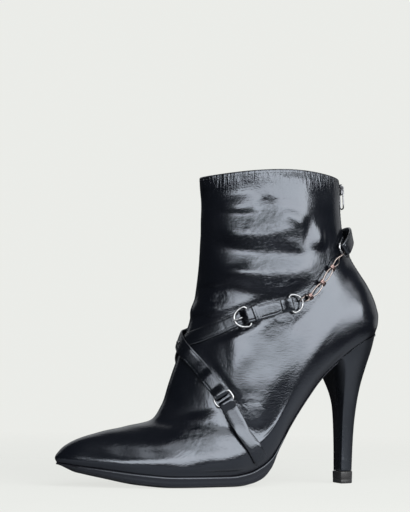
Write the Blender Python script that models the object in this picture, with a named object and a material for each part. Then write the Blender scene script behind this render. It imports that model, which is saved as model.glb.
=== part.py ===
"""Left stiletto ankle boot with a buckled strap harness, a chain and a back zip.

Sizes are in millimetres, measured from the back of the heel (x), from the heel's
middle line towards the outer side (y) and from the floor (z). Meshes are in metres.
"""
from math import cos, pi, sin, sqrt

import bpy
from mathutils import Vector
from mathutils.bvhtree import BVHTree

for old in list(bpy.data.objects):
    bpy.data.objects.remove(old, do_unlink=True)

MM = 0.001
GAP = 0.3
SEAM_GAP = 0.5
X_MIDDLE = 120.2
Y_MIDDLE = 1.0

# Upper: sizes of the last
WALL = 1.7
TOE_SWING = 5.0
SWING_FROM_X = 90.0
SWING_POWER = 1.6
RING_STEPS = 28
LEVEL_STEPS = 21
FINE_RING_STEPS = 90
FINE_LEVEL_STEPS = 112
CORNER_SOFTNESS = 6.0
WIDTH_PLACES = (0.13, 0.40, 0.66)

# One row for each ring of the upper, from the sole seam up to the collar
PROFILE_COLUMNS = ("front_x", "front_z", "back_x", "back_z", "sag")
PROFILE_ROWS = (
    (236.8, 15.8, 4.0, 109.6, 1.00),
    (238.2, 19.0, 2.4, 115.0, 1.00),
    (234.6, 24.6, 2.0, 121.0, 1.00),
    (224.5, 31.0, 3.4, 127.0, 1.00),
    (208.0, 36.2, 6.4, 135.0, 1.00),
    (188.5, 40.4, 10.8, 143.0, 1.00),
    (171.5, 44.6, 16.0, 150.5, 1.00),
    (164.0, 54.6, 21.0, 158.0, 0.98),
    (158.4, 71.0, 25.2, 166.0, 0.90),
    (151.4, 92.0, 28.8, 176.0, 0.74),
    (144.6, 112.0, 30.8, 186.0, 0.50),
    (139.8, 135.0, 31.6, 194.0, 0.26),
    (137.4, 163.0, 32.0, 202.0, 0.10),
    (136.8, 189.0, 32.2, 209.0, 0.02),
    (138.4, 213.0, 32.6, 216.0, 0.00),
)
TOP_LEVEL = len(PROFILE_ROWS) - 1

# Half widths of the outer and inner sides at heel, waist and ball, by ring
GIRTH_COLUMNS = ("level", "out_heel", "out_waist", "out_ball", "in_heel", "in_waist", "in_ball",
                 "nose_radius", "nose_taper", "back_radius")
GIRTH_ROWS = (
    (0, 27.0, 29.0, 38.5, 26.0, 21.5, 36.5, 4.0, 0.46, 26.0),
    (2, 30.8, 33.8, 39.5, 29.4, 27.6, 38.0, 4.5, 0.46, 27.0),
    (4, 31.6, 35.6, 37.0, 30.3, 31.6, 36.0, 5.0, 0.52, 26.0),
    (6, 31.5, 35.8, 34.5, 30.5, 33.7, 33.5, 6.5, 0.58, 24.0),
    (8, 30.8, 35.0, 33.0, 30.3, 34.2, 32.5, 8.5, 0.60, 21.0),
    (11, 28.8, 33.6, 31.0, 28.3, 33.2, 30.5, 9.0, 0.55, 17.0),
    (14, 26.5, 32.5, 29.5, 26.5, 32.0, 29.0, 8.0, 0.50, 14.0),
)
COLLAR_SIDE_RISE = 4.0
COLLAR_RISE_FROM = 0.7
SEAM_SOFTEN = 10.0
SOFTEN_LEVELS = 4.0
WAIST_SHARE = 0.42
WAIST_FADE = 0.30

# Sole seam height and sole thickness along the foot
SOLE_COLUMNS = ("x", "seam_z", "thickness", "ledge")
SOLE_ROWS = (
    (2.0, 110.3, 2.6, 0.0),
    (14.0, 105.6, 2.6, 0.0),
    (28.0, 98.2, 2.6, 0.0),
    (40.0, 89.8, 2.6, 0.0),
    (55.0, 77.0, 2.6, 0.2),
    (68.0, 60.8, 2.8, 0.4),
    (80.0, 43.2, 3.0, 0.6),
    (88.0, 29.4, 3.8, 0.8),
    (94.0, 20.4, 8.2, 1.0),
    (101.0, 14.8, 10.0, 1.2),
    (112.0, 10.0, 9.0, 1.4),
    (126.0, 8.0, 7.5, 1.6),
    (166.0, 8.0, 7.5, 1.6),
    (186.0, 9.4, 7.4, 1.6),
    (210.0, 12.4, 5.8, 1.5),
    (228.0, 14.7, 4.0, 1.1),
    (240.0, 16.2, 1.8, 0.2),
)
SOLE_STEPS = 40
LIP_HEIGHT = 1.3
LIP_STEP = 0.5
SOLE_ROUND_IN = 10.0
SOLE_ROUND_UP = 1.8
SOLE_CORNER = 0.5
SOLE_BEVEL = 0.8
NARROW_SPAN = 6.0
THIN_SOLE = 5.0
LIP_SHARE = 0.4
ROUND_SHARE = 0.4
BREAST_X = 42.0

# Insole
INSOLE_THICKNESS = 2.4
INSOLE_STEPS = 44

# Heel: one row for each section, from the top piece up to the seat
HEEL_COLUMNS = ("breast_x", "breast_z", "back_x", "back_z", "half_width", "seat_share")
HEEL_ROWS = (
    (30.6, 8.7, 19.7, 8.7, 6.5, 0.0),
    (30.6, 24.0, 19.2, 24.0, 6.9, 0.0),
    (30.7, 40.0, 18.3, 40.0, 7.8, 0.0),
    (30.9, 53.0, 16.4, 56.0, 9.4, 0.0),
    (31.8, 63.0, 13.8, 70.0, 12.4, 0.0),
    (33.8, 71.0, 10.4, 82.0, 17.0, 0.1),
    (37.0, 79.0, 6.8, 93.0, 22.0, 0.4),
    (42.0, 87.8, 3.9, 109.6, 26.6, 1.0),
)
HEEL_BACK_STEPS = 12
HEEL_RINGS = 14
TIP_HEIGHT = 8.4
TIP_EXTRA = 0.5
TIP_LOW_EXTRA = 0.3
HEEL_BACK_HALF = 0.4

# Straps
STRAP_WIDTH = 10.0
STRAP_THICKNESS = 1.5
SHORT_THICKNESS = 1.0
STRAP_LIFT = 0.4
STRAP_START = 1.0
SHORT_NARROWER = 0.6
STRAP_STEP = 4.0
ROUTE_STEPS = 24
FINE_STEP = 1.3
CROSS_STEP = 2.0
CROSS_REACH = 14.0
ACROSS = (-1.0, 0.0, 1.0)
CROSS_FADE = 21.0
CROSS_FLAT = 1.7
STAND_OFF = 5.0
STAND_REACH = 30.0
RISE_AFTER = 6.0
RISE_SHARE = 0.7
FOLD_STEPS = 6
FOLD_NEAR = 5.0
FOLD_FAR = 9.0
TAB_FOLD_FAR = 11.0
TAB_FOLD_EASE = 9.0
INSTEP_FOLD_NEAR = 6.0
INSTEP_FOLD_FAR = 13.0
INSTEP_FOLD_EASE = 6.0
REAR_FOLD_NEAR = 4.0
REAR_FOLD_FAR = 8.0
REAR_FOLD_START = 1.0
CROSSING = (153, 0, 98)
BUCKLE_BAR_NEAR = (114.6, 34, 116.5)
FREE_END_NEAR = (91, 34, 123.5)
UPPER_RING_NEAR = (84, 34, 125)
LOWER_RING_NEAR = (134.5, 31, 63)
REAR_JOIN_NEAR = (72, -33, 136)
BACK_NEAR = (29, 0, 178)
REAR_RING_NEAR = (37, 20, 166.5)
ANKLE_GUIDES = ((102, -29, 16), (117, -35, 38), (131, -32, 58), (143, -22, 78), (153, 0, 98),
                (146, 17, 105), (136, 26, 110), (125, 32, 114.5), (114, 34, 117), (100, 34.5, 121),
                (84, 34, 125), (72, 33, 127.5))
INSTEP_GUIDES = ((102.5, 35, 16), (117, 37, 36), (130, 34, 57), (143, 21, 78), (153, 0, 98),
                 (146, -17, 105), (134, -27, 111), (116, -33, 117), (96, -34, 124), (72, -33, 136),
                 (54, -29, 149), (38, -20, 167), (29, 0, 178), (36, 19, 168), (44, 25, 157))
CHAIN_GUIDES = ((68.5, 33, 131.5), (58.5, 32, 141.5), (50.5, 29, 151.5))
ZIP_GUIDES = ((34.8, 0, 216), (33.6, 0, 198), (31.0, 0, 181), (25.4, 0, 166), (16, 0, 150.5), (6.4, 0, 135),
              (2.4, 0, 121))

# Rings, buckle and chain
WIRE = 0.9
WIRE_SIDES = 7
CHAIN_SIDES = 6
LOOP_STEPS = 12
BUCKLE_HALF_BAR = 7.0
BUCKLE_DEPTH = 10.5
BUCKLE_TILT = 0.7
BUCKLE_RISE = 5.0
RISE_ENDS_BEFORE = 1.5
SETTLE_AFTER = 2.5
SETTLE_OVER = 6.0
FINE_BEFORE = 7.5
FINE_AFTER = 10.0
TIP_LENGTH = 4.0
TIP_WIDTH_SHARE = 0.5
TIP_TAPER = 16.0
PRONG_WIRE = 0.6
PRONG_LENGTH = 7.0
PRONG_OVERHANG = 1.3
PRONG_SLOPE = 0.2
KEEPER_AT = 5.0
KEEPER_LENGTH = 4.6
KEEPER_THICKNESS = 0.9
KEEPER_LOW = 0.5
RING_HALF_BAR = 6.3
RING_CORNER = 1.4
LOWER_CORNER = 1.3
RING_DEPTH = 8.5
LOWER_RING_DEPTH = 7.0
REAR_RING_DEPTH = 6.0
CHAIN_WIRE = 0.55
CHAIN_LEAVES = 0.3
CHAIN_RUN_ON = 4.0
CHAIN_RUN_ASIDE = 1.2
LINK_STEPS = 16
WRAP_STEPS = 12
LINK_HALF_WIDTH = 2.2
HOOK_HALF_WIDTH = 2.6
HOOK_BLUNTNESS = 0.4
HOOK_TILT = 1.2
WRAP_HALF_LENGTH = 1.4
WRAP_PLACES = (0.14, 0.42, 0.70)
WRAP_OUTLINE = ((-1, 0.0), (-1, 1.0), (-0.5, 1.5), (0, 1.0), (0.5, 1.5), (1, 1.0), (1, 0.0))
LINK_GAP = 0.75
WRAP_WIRE = 0.45
WRAP_HALF_WIDTH = 1.4
WRAP_HALF_HEIGHT = 0.2
RIVET_RADIUS = 1.7
RIVET_HEIGHT = 0.8
RIVET_SIDES = 12
RIVET_ROWS = ((0.0, 1.0), (0.5, 0.9), (1.0, 0.5))

# Zip
ZIP_HALF_WIDTH = 3.2
ZIP_THICKNESS = 0.6
ZIP_STEP = 7.0
ZIP_START = 0.8
SLIDER_AT = 5.4
PULL_LENGTH = 14.0
PULL_HALF_WIDTH = 2.8
PULL_WIRE = 0.5
PULL_LIFT = 3.1
PULL_OUTLINE = ((0.0, -0.7), (0.0, 0.0), (0.0, 0.7), (0.08, 1.0), (0.9, 1.0), (0.97, 0.75),
                (1.0, 0.0), (0.97, -0.75), (0.9, -1.0), (0.08, -1.0))
# Half section of the slider: window and outside (length, height), and half width, going round
SLIDER_COLUMNS = ("window_s", "window_h", "outside_s", "outside_h", "half_width")
SLIDER_ROWS = (
    (-2.0, 2.2, -4.0, 1.2, 3.4),
    (2.0, 2.2, 4.0, 1.2, 3.4),
    (2.0, 2.25, 4.0, 2.2, 3.4),
    (2.0, 2.35, 3.0, 2.35, 1.1),
    (2.0, 3.95, 2.8, 4.7, 1.1),
    (-2.0, 3.95, -2.8, 4.7, 1.1),
    (-2.0, 2.35, -3.0, 2.35, 1.1),
    (-2.0, 2.25, -4.0, 2.2, 3.4),
)


def smooth_curve(places, values):
    """Monotone cubic curve through one column of a table."""
    count = len(places)
    steps = [places[i + 1] - places[i] for i in range(count - 1)]
    rises = [(values[i + 1] - values[i]) / steps[i] for i in range(count - 1)]
    slopes = [rises[0]]
    for i in range(1, count - 1):
        if rises[i - 1] * rises[i] <= 0:
            slopes.append(0.0)
            continue
        first = 2 * steps[i] + steps[i - 1]
        second = steps[i] + 2 * steps[i - 1]
        slopes.append((first + second) / (first / rises[i - 1] + second / rises[i]))
    slopes.append(rises[-1])

    def value(place):
        if place <= places[0]:
            return values[0]
        if place >= places[-1]:
            return values[-1]
        i = 0
        while place > places[i + 1]:
            i += 1
        u = (place - places[i]) / steps[i]
        bend = steps[i] * u * (1 - u)
        line = values[i] + (values[i + 1] - values[i]) * u * u * (3 - 2 * u)
        return line + bend * ((1 - u) * slopes[i] - u * slopes[i + 1])

    return value


def table_curves(columns, rows, places=None):
    """One smooth curve for each named column of a table."""
    spots = places if places else [row[0] for row in rows]
    return {name: smooth_curve(spots, [row[i] for row in rows]) for i, name in enumerate(columns)}


profile = table_curves(PROFILE_COLUMNS, PROFILE_ROWS, list(range(len(PROFILE_ROWS))))
girth = table_curves(GIRTH_COLUMNS, GIRTH_ROWS)
sole = table_curves(SOLE_COLUMNS, SOLE_ROWS)
heel = table_curves(HEEL_COLUMNS, HEEL_ROWS, list(range(len(HEEL_ROWS))))
FEATHER_BACK_X, FEATHER_FRONT_X = PROFILE_ROWS[0][2], PROFILE_ROWS[0][0]
FEATHER_BACK_Z, FEATHER_FRONT_Z = PROFILE_ROWS[0][3], PROFILE_ROWS[0][1]


def middle_y(x):
    """Middle line of the last, swinging inward to the toe."""
    share = max(0.0, (x - SWING_FROM_X) / (FEATHER_FRONT_X - SWING_FROM_X))
    return -TOE_SWING * share ** SWING_POWER


def half_width(level, t, side):
    """Half width of a ring at share t of its length, on the outer (+1) or inner (-1) side."""
    length = profile["front_x"](level) - profile["back_x"](level)
    from_back = t * length
    from_nose = (1 - t) * length
    if from_back < 1e-6 or from_nose < 1e-6:
        return 0.0
    taper = girth["nose_taper"](level) * from_nose
    nose = sqrt(2 * girth["nose_radius"](level) * from_nose + taper * taper)
    back = sqrt(2 * girth["back_radius"](level) * from_back)
    names = ("out_heel", "out_waist", "out_ball") if side > 0 else ("in_heel", "in_waist", "in_ball")
    body = smooth_curve(WIDTH_PLACES, [girth[name](level) for name in names])(t)
    total = sum(width ** -CORNER_SOFTNESS for width in (nose, back, body))
    return total ** (-1 / CORNER_SOFTNESS)


def smooth_step(value):
    """A soft rise from 0 to 1."""
    u = min(max(value, 0.0), 1.0)
    return u * u * (3 - 2 * u)


def upper_point(level, t, side):
    """A point on the outside of the upper."""
    back_x = profile["back_x"](level)
    x = back_x + t * (profile["front_x"](level) - back_x)
    y = middle_y(x) + side * half_width(level, t, side)
    chord = profile["back_z"](level) + t * (profile["front_z"](level) - profile["back_z"](level))
    seam_x = FEATHER_BACK_X + t * (FEATHER_FRONT_X - FEATHER_BACK_X)
    seam_x += (x - seam_x) * (1 - smooth_step((t - WAIST_SHARE) / WAIST_FADE))
    seam_share = (seam_x - FEATHER_BACK_X) / (FEATHER_FRONT_X - FEATHER_BACK_X)
    seam_chord = FEATHER_BACK_Z + seam_share * (FEATHER_FRONT_Z - FEATHER_BACK_Z)
    reach = SEAM_SOFTEN * min(1.0, level / SOFTEN_LEVELS) * 4 * t * (1 - t)
    heights = [sole["seam_z"](seam_x + reach * step) for step in (-1, 0, 0, 1)]
    z = chord + profile["sag"](level) * (sum(heights) / len(heights) - seam_chord)
    high = max(0.0, level / TOP_LEVEL - COLLAR_RISE_FROM) / (1 - COLLAR_RISE_FROM)
    z += COLLAR_SIDE_RISE * high * sin(pi * t)
    return Vector((x, y, z))


def ring(level, steps):
    """One closed ring of the upper, back to toe along the outer side and back along the inner side."""
    shares = [(1 - cos(pi * i / steps)) / 2 for i in range(steps + 1)]
    outer_side = [upper_point(level, t, 1) for t in shares]
    inner_side = [upper_point(level, t, -1) for t in shares[1:-1]]
    return outer_side + inner_side[::-1]


def grid_normals(rings):
    """Outward normals of a stack of closed rings."""
    count = len(rings[0])
    normals = []
    for j, points in enumerate(rings):
        above = rings[min(j + 1, len(rings) - 1)]
        below = rings[max(j - 1, 0)]
        row = []
        for i in range(count):
            along = points[(i + 1) % count] - points[i - 1]
            up = above[i] - below[i]
            row.append(up.cross(along).normalized())
        normals.append(row)
    return normals


# Meshes
def material(name, colour, roughness, metallic=0.0):
    made = bpy.data.materials.new(name)
    made.use_nodes = True
    shader = made.node_tree.nodes["Principled BSDF"]
    shader.inputs["Base Color"].default_value = (*colour, 1.0)
    shader.inputs["Roughness"].default_value = roughness
    shader.inputs["Metallic"].default_value = metallic
    return made


BLACK_LEATHER = material("black_leather", (0.012, 0.013, 0.018), 0.35)
STRAP_LEATHER = material("strap_leather", (0.010, 0.011, 0.015), 0.35)
LINING = material("lining_leather", (0.05, 0.045, 0.04), 0.6)
SOLE_LEATHER = material("sole_leather", (0.015, 0.014, 0.014), 0.5)
TIP_RUBBER = material("tip_rubber", (0.02, 0.02, 0.02), 0.7)
SILVER = material("silver_metal", (0.75, 0.74, 0.72), 0.2, 1.0)


def solid(name, points, faces, look, pivot=None):
    """One closed object from points in millimetres; a moving piece has its pivot as its origin."""
    centre = Vector((X_MIDDLE, Y_MIDDLE, 0.0))
    base = pivot - centre if pivot else Vector((0, 0, 0))
    mesh = bpy.data.meshes.new(name)
    mesh.from_pydata([tuple((p - centre - base) * MM) for p in points], [], faces)
    mesh.materials.append(look)
    mesh.validate()
    item = bpy.data.objects.new(name, mesh)
    item.location = base * MM
    bpy.context.scene.collection.objects.link(item)
    return item


def loft(name, sections, look, closed=False, pivot=None, split_caps=False):
    """A solid through closed sections of equal point count."""
    count = len(sections[0])
    points = [p for section in sections for p in section]
    faces = []
    last = len(sections) if closed else len(sections) - 1
    for k in range(last):
        here = k * count
        there = (k + 1) % len(sections) * count
        for i in range(count):
            j = (i + 1) % count
            faces.append((here + i, here + j, there + j, there + i))
    if not closed:
        top = (len(sections) - 1) * count
        if split_caps:
            for start, turn in ((0, -1), (top, 1)):
                for i in range(count // 2 - 1):
                    face = (start + i, start + i + 1, start + count - 2 - i, start + count - 1 - i)
                    faces.append(face[::turn])
        else:
            faces.append(tuple(range(count))[::-1])
            faces.append(tuple(range(top, top + count)))
    return solid(name, points, outward(points, faces), look, pivot)


def outward(points, faces):
    """The faces turned so that the closed mesh has a positive volume."""
    volume = 0.0
    for face in faces:
        for i in range(1, len(face) - 1):
            volume += points[face[0]].dot(points[face[i]].cross(points[face[i + 1]]))
    return faces if volume > 0 else [face[::-1] for face in faces]


def tube(name, path, radius, look, closed=False, sides=WIRE_SIDES, pivot=None):
    """A round wire along a path."""
    count = len(path)
    sections = []
    lift = None
    for i, spot in enumerate(path):
        ahead = path[(i + 1) % count] if closed or i < count - 1 else path[i]
        behind = path[i - 1] if closed or i > 0 else path[i]
        along = (ahead - behind).normalized()
        if lift is None:
            lift = along.orthogonal().normalized()
        lift = (lift - along * lift.dot(along)).normalized()
        across = along.cross(lift)
        angles = [2 * pi * k / sides for k in range(sides)]
        sections.append([spot + radius * (cos(a) * lift + sin(a) * across) for a in angles])
    return loft(name, sections, look, closed, pivot)


# Upper: a lasted leather shell, open at the collar and underneath
def make_upper():
    levels = [TOP_LEVEL * j / LEVEL_STEPS for j in range(LEVEL_STEPS + 1)]
    rings = [ring(level, RING_STEPS) for level in levels]
    normals = grid_normals(rings)
    inner = []
    for j, points in enumerate(rings):
        upright = min(1.0, j / 3, (LEVEL_STEPS - j) / 2)
        row = []
        for point, normal in zip(points, normals[j]):
            turned = Vector((normal.x, normal.y, normal.z * upright)).normalized()
            inside = point - WALL * turned
            if j == 0:
                inside.z = sole["seam_z"](inside.x)
            row.append(inside)
        inner.append(row)
    shell = rings + inner[::-1]
    return loft("upper", shell, BLACK_LEATHER, closed=True)


make_upper()

fine_levels = [TOP_LEVEL * j / FINE_LEVEL_STEPS for j in range(FINE_LEVEL_STEPS + 1)]
fine_rings = [ring(level, FINE_RING_STEPS) for level in fine_levels]
fine_count = len(fine_rings[0])
fine_points = [p for row in fine_rings for p in row]
fine_faces = []
for j in range(FINE_LEVEL_STEPS):
    for i in range(fine_count):
        k = (i + 1) % fine_count
        fine_faces.append((j * fine_count + i, (j + 1) * fine_count + i,
                           (j + 1) * fine_count + k, j * fine_count + k))
skin = BVHTree.FromPolygons(fine_points, fine_faces)


def seam_edge(t, side, grow):
    """A point of the sole seam moved outward in plan by grow."""
    step = 0.002
    here = upper_point(0, t, side)
    before = upper_point(0, max(0.0, t - step), side)
    after = upper_point(0, min(1.0, t + step), side)
    along = Vector((after.x - before.x, after.y - before.y, 0)).normalized()
    out = Vector((-along.y, along.x, 0)) * side
    return here + grow * out


# Outsole: leather sole from the toe to the heel breast, with a lip along its top edge
def make_outsole():
    start = (BREAST_X + GAP - FEATHER_BACK_X) / (FEATHER_FRONT_X - FEATHER_BACK_X)
    sections = []
    for k in range(SOLE_STEPS + 1):
        t = start + (1 - start) * sin(pi / 2 * k / SOLE_STEPS)
        t = min(t, 0.9995)
        halves = []
        for side in (1, -1):
            x = FEATHER_BACK_X + t * (FEATHER_FRONT_X - FEATHER_BACK_X)
            edge = seam_edge(t, side, sole["ledge"](x))
            thick = sole["thickness"](edge.x)
            top = sole["seam_z"](edge.x) - SEAM_GAP
            span = abs(edge.y - middle_y(edge.x))
            shrink = min(1.0, span / NARROW_SPAN, thick / THIN_SOLE)
            lip = min(LIP_HEIGHT, thick * LIP_SHARE)
            low = top - thick + SOLE_ROUND_UP * shrink
            rows = ((0.0, top), (0.0, top - lip), (LIP_STEP, top - lip - LIP_STEP * shrink),
                    (LIP_STEP, low + SOLE_CORNER), (LIP_STEP + SOLE_BEVEL, low + SOLE_CORNER - SOLE_BEVEL),
                    (LIP_STEP + min(SOLE_ROUND_IN, span * ROUND_SHARE), top - thick))
            halves.append([Vector((edge.x, edge.y - side * inset * shrink, z)) for inset, z in rows])
        sections.append(halves[0] + halves[1][::-1])
    loft("outsole", sections, SOLE_LEATHER, split_caps=True)


make_outsole()


# Insole: board and sock inside the bottom opening
def make_insole():
    sections = []
    for k in range(INSOLE_STEPS + 1):
        t = (1 - cos(pi * k / INSOLE_STEPS)) / 2
        t = min(max(t, 0.002), 0.9985)
        halves = []
        for side in (1, -1):
            edge = seam_edge(t, side, -WALL - GAP)
            seam = sole["seam_z"](edge.x)
            halves.append([Vector((edge.x, edge.y, seam)), Vector((edge.x, edge.y, seam + INSOLE_THICKNESS))])
        sections.append(halves[0] + halves[1][::-1])
    loft("insole", sections, LINING, split_caps=True)


make_insole()


# Heel: tall covered block, flat at the breast and round at the back
def heel_ring(row, grow=0.0):
    breast_x = heel["breast_x"](row) + grow
    back_x = heel["back_x"](row) - grow
    half = heel["half_width"](row) + grow
    seat = heel["seat_share"](row)
    halves = []
    for side in (1, -1):
        points = []
        for k in range(HEEL_BACK_STEPS + 1):
            turn = pi / 2 * k / HEEL_BACK_STEPS
            x = back_x + (breast_x - back_x) * (1 - sin(turn))
            wide = half * cos(turn)
            t = (x - FEATHER_BACK_X) / (FEATHER_FRONT_X - FEATHER_BACK_X)
            seat_wide = half_width(0, max(t, 0.0), side)
            if k == HEEL_BACK_STEPS:
                wide = seat_wide = HEEL_BACK_HALF
            flat = heel["breast_z"](row) + (heel["back_z"](row) - heel["breast_z"](row)) * (
                (breast_x - x) / (breast_x - back_x))
            z = flat * (1 - seat) + (sole["seam_z"](x) - SEAM_GAP) * seat
            points.append(Vector((x, side * (wide * (1 - seat) + seat_wide * seat), z)))
        halves.append(points)
    return halves[0] + halves[1][::-1]


rows_up = [(len(HEEL_ROWS) - 1) * k / HEEL_RINGS for k in range(HEEL_RINGS + 1)]
loft("heel", [heel_ring(row) for row in rows_up], BLACK_LEATHER, split_caps=True)

tip_top = [Vector((p.x, p.y, TIP_HEIGHT)) for p in heel_ring(0, TIP_EXTRA)]
tip_low = [Vector((p.x, p.y, 0.0)) for p in heel_ring(0, TIP_LOW_EXTRA)]
loft("heel_tip", [tip_low, tip_top], TIP_RUBBER)


# Straps and hardware lie on the upper along routes
def route(guides):
    """Evenly spaced spots on the upper through the guide points, with normals and side vectors."""
    knots = [Vector(g) for g in guides]
    dense = []
    for i in range(len(knots) - 1):
        before = knots[max(i - 1, 0)]
        after = knots[min(i + 2, len(knots) - 1)]
        for k in range(ROUTE_STEPS):
            u = k / ROUTE_STEPS
            spot = 0.5 * (2 * knots[i] + (knots[i + 1] - before) * u
                          + (2 * before - 5 * knots[i] + 4 * knots[i + 1] - after) * u * u
                          + (3 * knots[i] - before - 3 * knots[i + 1] + after) * u ** 3)
            dense.append(skin.find_nearest(spot)[0])
    dense.append(skin.find_nearest(knots[-1])[0])
    lengths = [0.0]
    for a, b in zip(dense, dense[1:]):
        lengths.append(lengths[-1] + (b - a).length)
    return dense, lengths


def along_route(path, s):
    """Spot, direction, side and normal at length s along a route."""
    dense, lengths = path

    def spot_at(distance):
        distance = min(max(distance, 0.0), lengths[-1])
        i = 0
        while i < len(lengths) - 2 and lengths[i + 1] < distance:
            i += 1
        u = (distance - lengths[i]) / max(lengths[i + 1] - lengths[i], 1e-9)
        return dense[i].lerp(dense[i + 1], u)

    spot = spot_at(s)
    along = (spot_at(s + 3) - spot_at(s - 3)).normalized()
    normal = Vector((0, 0, 0))
    for ahead in (-3, 0, 3):
        normal += skin.find_nearest(spot_at(s + ahead))[1]
    normal = (normal - along * normal.dot(along)).normalized()
    return spot, along, normal.cross(along), normal


def nearest_length(path, target):
    """Length along a route at its spot nearest the target."""
    dense, lengths = path
    goal = Vector(target)
    best = min(range(len(dense)), key=lambda i: (dense[i] - goal).length)
    return lengths[best]


def on_skin(path, s, w, h):
    """A spot h above the upper, w to the side of a route at length s."""
    spot, along, side, normal = along_route(path, s)
    ground, face_normal = skin.find_nearest(spot + side * w)[:2]
    lean = (face_normal + normal).normalized()
    return ground + lean * h


def rigid(path, s, h):
    """A flat frame standing h above the upper at length s of a route."""
    spot, along, side, normal = along_route(path, s)

    def place(ahead, w, up=0.0):
        return spot + along * ahead + side * w + normal * (h + up)

    return place


def band(name, path, run, width, thickness, look, narrow=None):
    """A strap whose middle follows run, a list of (length, height) on a route."""
    sections = []
    for k, (s, h) in enumerate(run):
        ahead = run[min(k + 1, len(run) - 1)]
        behind = run[max(k - 1, 0)]
        ds, dh = ahead[0] - behind[0], ahead[1] - behind[1]
        size = sqrt(ds * ds + dh * dh)
        ns, nh = -dh / size * thickness / 2, ds / size * thickness / 2
        half = width / 2 * (narrow(k / (len(run) - 1)) if narrow else 1.0)
        low = [on_skin(path, s - ns, half * a, h - nh) for a in ACROSS]
        high = [on_skin(path, s + ns, half * a, h + nh) for a in ACROSS]
        sections.append(low + high[::-1])
    return loft(name, sections, look, split_caps=True)


def straight_run(start, stop, height, step=STRAP_STEP):
    """A run along a route at the height given for each length."""
    count = max(2, round(abs(stop - start) / step))
    spots = [start + (stop - start) * k / count for k in range(count + 1)]
    return [(s, height(s)) for s in spots]


def bump(s, centre, reach):
    """A smooth rise from 0 to 1 around a centre."""
    u = min(abs(s - centre) / reach, 1.0)
    return (1 - u * u) ** 2


def fold(bar, bar_height, turn, radius, rising):
    """Half a turn of a strap round a bar, on its far side (turn +1) or near side (-1)."""
    angles = [-pi / 2 + pi * k / FOLD_STEPS for k in range(FOLD_STEPS + 1)]
    if not rising:
        angles.reverse()
    return [(bar + turn * radius * cos(a), bar_height + radius * sin(a)) for a in angles]


def d_loop(place, half_bar, depth):
    """The path of a D ring with its bar at 0 and its curve ahead."""
    corner = depth / abs(depth) * RING_CORNER
    straight = half_bar - RING_CORNER
    path = [place(0.0, -straight), place(0.0, 0.0), place(0.0, straight)]
    for k in range(LOOP_STEPS + 1):
        turn = pi / 2 - pi * k / LOOP_STEPS
        path.append(place(corner + (depth - corner) * cos(turn), half_bar * sin(turn)))
    return path


ankle_path = route(ANKLE_GUIDES)
instep_path = route(INSTEP_GUIDES)
zip_path = route(ZIP_GUIDES)
LAY = STRAP_LIFT + STRAP_THICKNESS / 2
CROSS_RISE = STRAP_THICKNESS + GAP + 0.1
FOLD_RADIUS = WIRE + GAP + STRAP_THICKNESS / 2
SECOND_LAY = LAY + STRAP_THICKNESS + GAP
RING_LIFT = LAY + FOLD_RADIUS
SHORT_LAY = STRAP_LIFT + SHORT_THICKNESS / 2
SHORT_FOLD = WIRE + GAP + SHORT_THICKNESS / 2
SHORT_SECOND = SHORT_LAY + SHORT_THICKNESS + GAP
BAR_LIFT = SHORT_LAY + SHORT_FOLD
OVER_BAR = BAR_LIFT + SHORT_FOLD + SHORT_THICKNESS / 2 + GAP + STRAP_THICKNESS / 2
FREE_LAY = SHORT_SECOND + SHORT_THICKNESS / 2 + GAP + STRAP_THICKNESS / 2
buckle_bar = nearest_length(ankle_path, BUCKLE_BAR_NEAR)
free_end = nearest_length(ankle_path, FREE_END_NEAR)
ring_bar = nearest_length(ankle_path, UPPER_RING_NEAR)
instep_cross = nearest_length(instep_path, CROSSING)
ankle_cross = nearest_length(ankle_path, CROSSING)
lower_bar = nearest_length(instep_path, LOWER_RING_NEAR)
tab_bar = lower_bar - LOWER_RING_DEPTH
join_at = nearest_length(instep_path, REAR_JOIN_NEAR)
back_at = nearest_length(instep_path, BACK_NEAR)
rear_bar = nearest_length(instep_path, REAR_RING_NEAR)


# Ankle strap: from the inner sole seam over the instep, through the buckle, to its free end
def ankle_height(s):
    over = smooth_step((s - buckle_bar + BUCKLE_RISE) / (BUCKLE_RISE - RISE_ENDS_BEFORE))
    settle = smooth_step((s - buckle_bar - SETTLE_AFTER) / SETTLE_OVER)
    return LAY + (OVER_BAR - LAY) * over - (OVER_BAR - FREE_LAY) * settle


def pointed(share):
    """Width share of the ankle strap, tapering at its free end."""
    return min(1.0, TIP_WIDTH_SHARE + (1 - share) * TIP_TAPER)


fine_from = buckle_bar - FINE_BEFORE
fine_to = buckle_bar + FINE_AFTER
tip_from = free_end - TIP_LENGTH
ankle_run = straight_run(STRAP_START, ankle_cross - CROSS_REACH, ankle_height)
ankle_run += straight_run(ankle_cross - CROSS_REACH, ankle_cross + CROSS_REACH, ankle_height, CROSS_STEP)[1:]
ankle_run += straight_run(ankle_cross + CROSS_REACH, fine_from, ankle_height)[1:]
ankle_run += straight_run(fine_from, fine_to, ankle_height, FINE_STEP)[1:]
ankle_run += straight_run(fine_to, tip_from, ankle_height)[1:]
ankle_run += straight_run(tip_from, free_end, ankle_height, FINE_STEP)[1:]
band("ankle_strap", ankle_path, ankle_run, STRAP_WIDTH, STRAP_THICKNESS, STRAP_LEATHER, pointed)

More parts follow.
